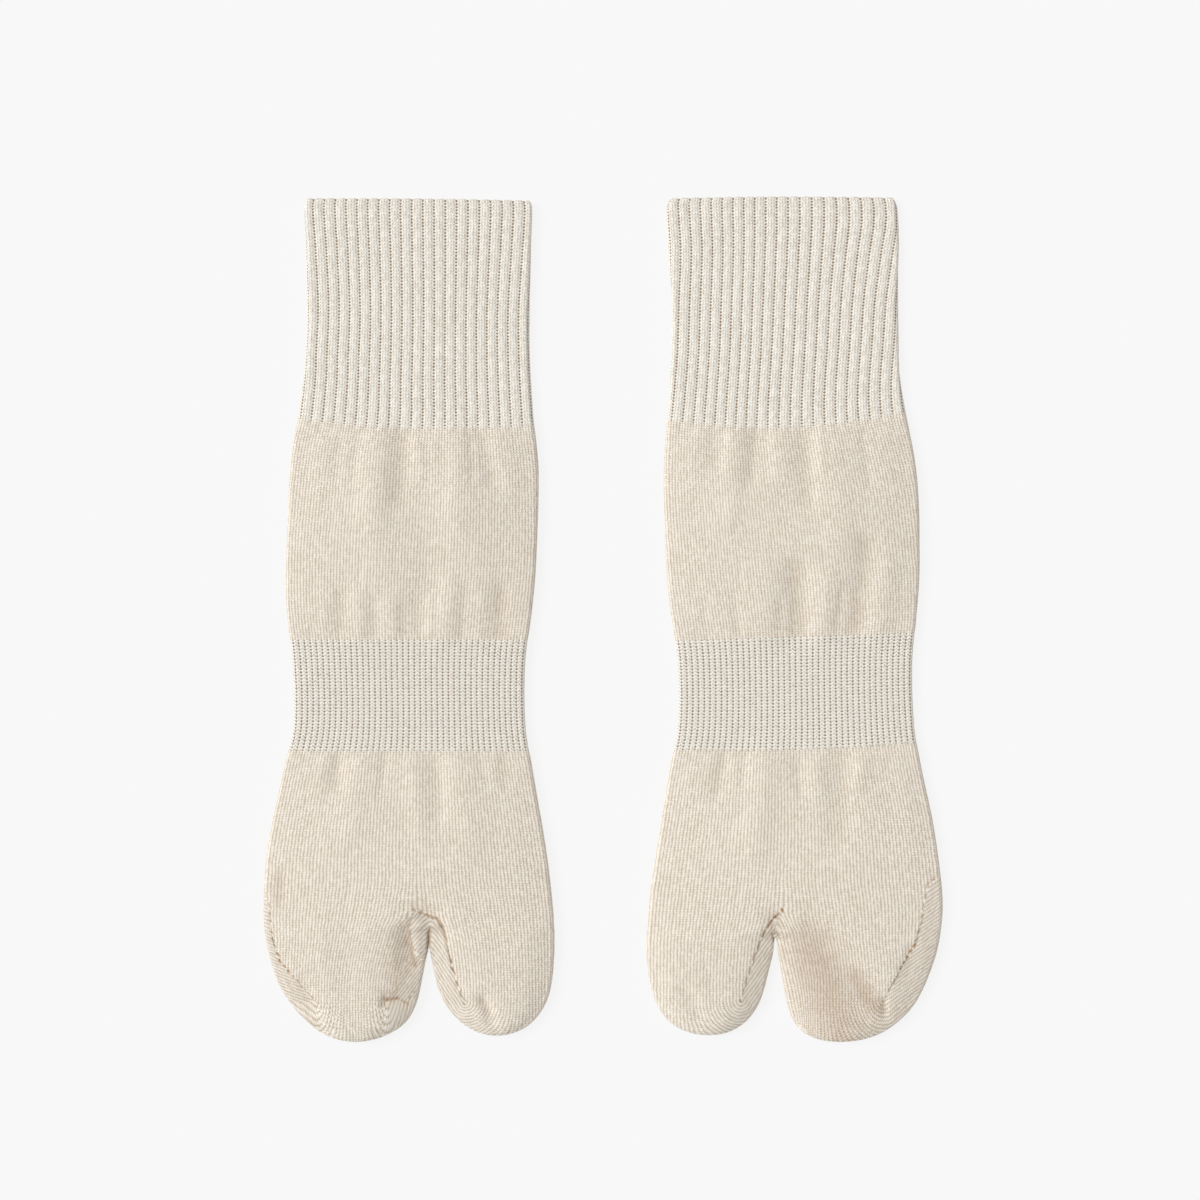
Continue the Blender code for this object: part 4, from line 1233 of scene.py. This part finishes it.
def marked(sock, skin, points, across, pocket):
    """Press the marks of the seams into an outer skin, and find each point's stitch and painted
    shade.
    """
    x, along, z = np.moveaxis(points, -1, 0)
    wale, course = foot_knit(sock, across, along, pocket)
    shade = valley_shade(sock, x, along)
    if skin.outside:
        pressed = smooth_step(z, PRESS_FROM, PRESS_FULL)
        shaded = smooth_step(z, SHADE_FROM, SHADE_FULL)
        for mark in sock.marks:
            near = nearness(mark, x, along)
            shade = np.maximum(shade, mark.shade * near * shaded)
            points[..., 2] -= mark.depth * near * pressed
    return points, wale, course, shade


# %% The tube down to the fork
def foot_tube(shell, skin, wales, fork):
    """Add the tube, and give back its rings with the last one's turns and rolled-out places."""
    sock = shell.sock
    start = sock.courses["band_end"]
    rows = tube_rows(sock, start, Course(fork, fork, fork), np.linspace(0, 1, skin.tube_rings))
    turns = turn_at(rows, wales)
    lift = -skin.depth
    if skin.outside:
        course = (rows.left_along - start.left) / PLAIN_COURSE
        fading = 1 - smooth_step(course, 0.0, BAND_FADE)
        lift = -on_face(wales) * below_rib(BAND_RIB, wales) * fading
    points = section_points(sock, rows, turns, lift, skin.outside)
    across = rolled_out(rows, turns)
    tube = shell.add(*marked(sock, skin, points, across, 0))
    shell.skin(tube if skin.outside else tube[::-1])
    return tube, turns[-1] % 4, across[-1]


# %% The saddle in the fork
SADDLE_SHARES = np.linspace(0, 1, 9)[1:-1]
# painted shade on the saddle deep in the fork, where the crevice lies in shade
SADDLE_SHADE = 0.6


def fork_saddle(shell, skin, roof, floor, fork, reach):
    """Add the arc of points from the top face down to the underside."""
    arc = SADDLE_SHARES
    saddle = np.empty((1, len(arc), 3))
    saddle[0, :, 0] = roof[0] + (floor[0] - roof[0]) * arc
    saddle[0, :, 1] = fork + reach * np.sin(pi * arc)
    saddle[0, :, 2] = (roof[2] + floor[2]) / 2 + (roof[2] - floor[2]) / 2 * np.cos(pi * arc)
    wale, course = foot_knit(shell.sock, saddle[..., 0], saddle[..., 1])
    return shell.add(saddle, wale, course, SADDLE_SHADE if skin.outside else 0.0)[0]


# %% A toe pocket
Start = namedtuple("Start", "ring turns across")       # Where the machine turned back at the edge of a toe pocket it left a row of small holes, and here and there a pucker. A hole in the knit shows its shaded inside, so a mark is painted with tan shade as well as pressed in. Holes cut through the mesh would need very small faces. Instead each mark is pressed into the skin, as a short trough, and the finish paints the mark's shade on it. Some marks are painted shade alone, where the cloth turns away into a hollow.
TIP_CROWDING = 1.1         # how much closer the rings stand near the split than at the tip
LAST_RING = 0.06           # how far before the last line of its table the last ring lies, in lines
LAST_TURN = 3.99999        # just before the full turn, which would count as the top face again
EASING = np.linspace(0, 1, 7)[1:-1, None]


def toe_pocket(shell, skin, pocket, table, start):
    """Go on from a ring at the fork to the tip of one pocket, and close it there."""
    sock = shell.sock
    at = np.linspace(0, 1, skin.toe_rings) ** TIP_CROWDING * (len(table) - 1 - LAST_RING)
    rows = toe_rows(table, at, skin.depth)
    turns = np.clip(start.turns, 0, LAST_TURN)
    points = section_points(sock, rows, turns, -skin.depth, skin.outside)
    across = rolled_out(rows, turns)
    cut = np.concatenate(shell.points)[start.ring]
    between = cut + (points[0] - cut) * EASING[..., None]
    across_between = start.across + (across[0] - start.across) * EASING
    points = np.concatenate([between, points])
    across = np.concatenate([across_between, across])
    rings = shell.add(*marked(sock, skin, points, across, pocket))
    rings = np.concatenate([start.ring[None], rings])
    shell.skin(rings if skin.outside else rings[::-1])

    tip = table[-1]
    tip_z = float(column(HEIGHTS, "fold", tip.left_along)) / 2
    tip_point = np.array([[[tip.left_x, tip.left_along - skin.depth, tip_z]]])
    wale, course = foot_knit(sock, tip_point[..., 0], tip_point[..., 1], pocket)
    tip_number = shell.add(tip_point, wale, course)[0, 0]
    shell.fan(rings[-1] if skin.outside else rings[-1][::-1], tip_number)


# %% A forked skin
def forked_skin(shell, skin, wales, fork_wale):
    """Add the tube, the saddle in the fork and both toe pockets. Gives back its first ring."""
    sock = shell.sock
    reach = column(HEIGHTS, "fold", sock.fork.along) / 2 - skin.depth
    fork = sock.fork.along - skin.fork_wall - reach
    tube, turn, across = foot_tube(shell, skin, wales, fork)
    last = tube[-1]
    over = int(np.argmin(abs(wales - fork_wale)))
    below = int(np.argmin(abs((wales + fork_wale) % (2 * WALES))))
    every = np.concatenate(shell.points)
    saddle = fork_saddle(shell, skin, every[last[over]], every[last[below]], fork, reach)

    # each half of the ring runs from the fork round its own side and back to the fork
    onward = (np.arange(len(wales)) + below) % len(wales)
    passing = list(onward).index(over)
    left = onward[:passing + 1]
    right = np.append(onward[passing:], below)
    # and its turns are shared out anew, so that they go once round its own pocket
    split = float(turn[over])
    faces = [turn <= 1, (turn >= 2) & (turn <= 3)]
    left_turn = np.select(faces, [turn / split, 3 - (3 - turn) / split], turn)
    right_turn = np.select(faces, [(turn - split) / (1 - split),
                                   3 - (3 - turn - split) / (1 - split)], turn)
    arc = SADDLE_SHARES
    at_fork = np.full(len(arc), sock.fork.x)
    for pocket, table, half, half_turn, edge, edge_turn in (
            (-1, sock.left_toe, left, left_turn, saddle, 1 + arc),
            (1, sock.right_toe, right, right_turn, saddle[::-1], 4 - arc[::-1])):
        start = Start(np.concatenate([last[half], edge]),
                      np.concatenate([half_turn[half], edge_turn]),
                      np.concatenate([across[half], at_fork]))
        toe_pocket(shell, skin, pocket, table, start)
    return tube[0]


# %% The foot
FOOT_UNDER = 12            # wide columns underneath
OUTER_SKIN = Skin(tube_rings=150, toe_rings=90, depth=0.0, fork_wall=0.0, outside=True)
INNER_SKIN = Skin(tube_rings=14, toe_rings=14, depth=WALL, fork_wall=FORK_WALL, outside=False)
FORK_MARGIN = 2            # how far above the fork its wale is looked up, mm


def foot(sock, start, end):
    above_fork = Course(*[sock.fork.along - FORK_MARGIN] * 3)
    row = tube_rows(sock, above_fork, above_fork, [0.0])
    share = float(sock.fork.x - row.left_x[0, 0]) / float((row.right_x - row.left_x)[0, 0])
    fork_wale = round(share * WALES * PER_WALE) / PER_WALE
    wales = wale_columns(FOOT_UNDER, extra=[2 * WALES - fork_wale])
    shell = Shell(sock)
    outer = forked_skin(shell, OUTER_SKIN, wales, fork_wale)
    inner = forked_skin(shell, INNER_SKIN, wales, fork_wale)
    shell.rim(inner, outer)
    return shell


# %% [markdown]
# ## Put the zones in the frame
#
# Each zone stands for its own CAD node and rides on the part's one body. Its flat size as a sheet
# of cloth is printed: the way round the tube by the zone's length. A foot with rounded toes fills
# only a share of that rectangle.

# %% Build all the zones
ZONES = {
    "cuff": (cuff, "cuff_rib", "mouth", "cuff_end"),
    "leg": (leg, "plain_knit", "cuff_end", "leg_end"),
    "arch_band": (arch_band, "band_rib", "leg_end", "band_end"),
    "foot": (foot, "plain_knit", "band_end", None),
}
TOES_START = 250.0         # past this the width is no longer that of one tube


def cut_size(sock, start, end):
    """Width all round and length of a zone's knit when it lies flat, in metres."""
    first = sock.courses[start].middle
    last = sock.courses[end].middle if end else SOCK_LENGTH
    places = np.linspace(first, min(last, TOES_START), 20)
    width = column(sock.edges, "right", places) - column(sock.edges, "left", places)
    return 2 * float(np.mean(width)) * MM, (last - first) * MM


for sock in SOCKS:
    for zone, (make, slot, start, end) in ZONES.items():
        node = sock.name + "_" + zone
        piece = build(make(sock, start, end), node + "_knit", FINISHES[slot])
        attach(piece, "root")
        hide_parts(node)
        width, length = cut_size(sock, start, end)
        print(f"{node}: cut {width / MM:.0f} mm round by {length / MM:.0f} mm long")

# %% [markdown]
# ## The table top
#
# The socks lie on a plain pale table. A white surface alone would darken beside the cloth, so it
# is dark paint that glows, as a light table does. That keeps it pale right up to the socks, with
# a faint soft shadow.

# %% Table top
TABLE_SIZE = 6.0
TABLE_GAP = 0.0001         # keeps the table clear of the socks' undersides

bpy.ops.mesh.primitive_plane_add(size=TABLE_SIZE, location=(0, 0, -TABLE_GAP))
table = bpy.context.object
table.name = "table_top"
paint = Finish("pale_light_table")
paint.surface(Base_Color=(0.1, 0.1, 0.1, 1.0), Roughness=0.9, Specular_IOR_Level=0.0,
              Emission_Color=(1.0, 1.0, 1.0, 1.0), Emission_Strength=0.8405)
table.data.materials.append(paint.material)
print("table:", TABLE_SIZE, "m across")

# %% [markdown]
# ## Light and camera
#
# One broad soft light comes from the left, so that left-hand edges are bright and every crease has
# a bright and a shaded side. The rest of the light is even, from all round. The camera looks
# straight down on the pair, from far enough that the sides of the tubes hardly show.

# %% Light
sky = bpy.data.worlds.new("even_light")
sky.use_nodes = True
even = sky.node_tree.nodes["Background"].inputs
even["Color"].default_value = (1.0, 1.0, 1.0, 1.0)
even["Strength"].default_value = 0.54
bpy.context.scene.world = sky
key = bpy.data.lights.new("broad_light", "SUN")
key.energy = 2.08
key.angle = radians(35)
key_lamp = bpy.data.objects.new("broad_light", key)
key_lamp.rotation_euler = (radians(-12), radians(-46), 0)
bpy.context.scene.collection.objects.link(key_lamp)
bpy.context.scene.view_settings.view_transform = "Standard"

# %% Camera
CAMERA_HEIGHT = 0.99
FIELD = 0.42               # how much of the table the picture takes in, m
lens = bpy.data.cameras.new("overhead_camera")
lens.sensor_width = 36.0
lens.lens = lens.sensor_width * CAMERA_HEIGHT / FIELD
camera = bpy.data.objects.new("overhead_camera", lens)
camera.location = (-0.00105, 0.00665, CAMERA_HEIGHT)
bpy.context.scene.collection.objects.link(camera)
bpy.context.scene.camera = camera
print(f"lens: {lens.lens:.0f} mm")
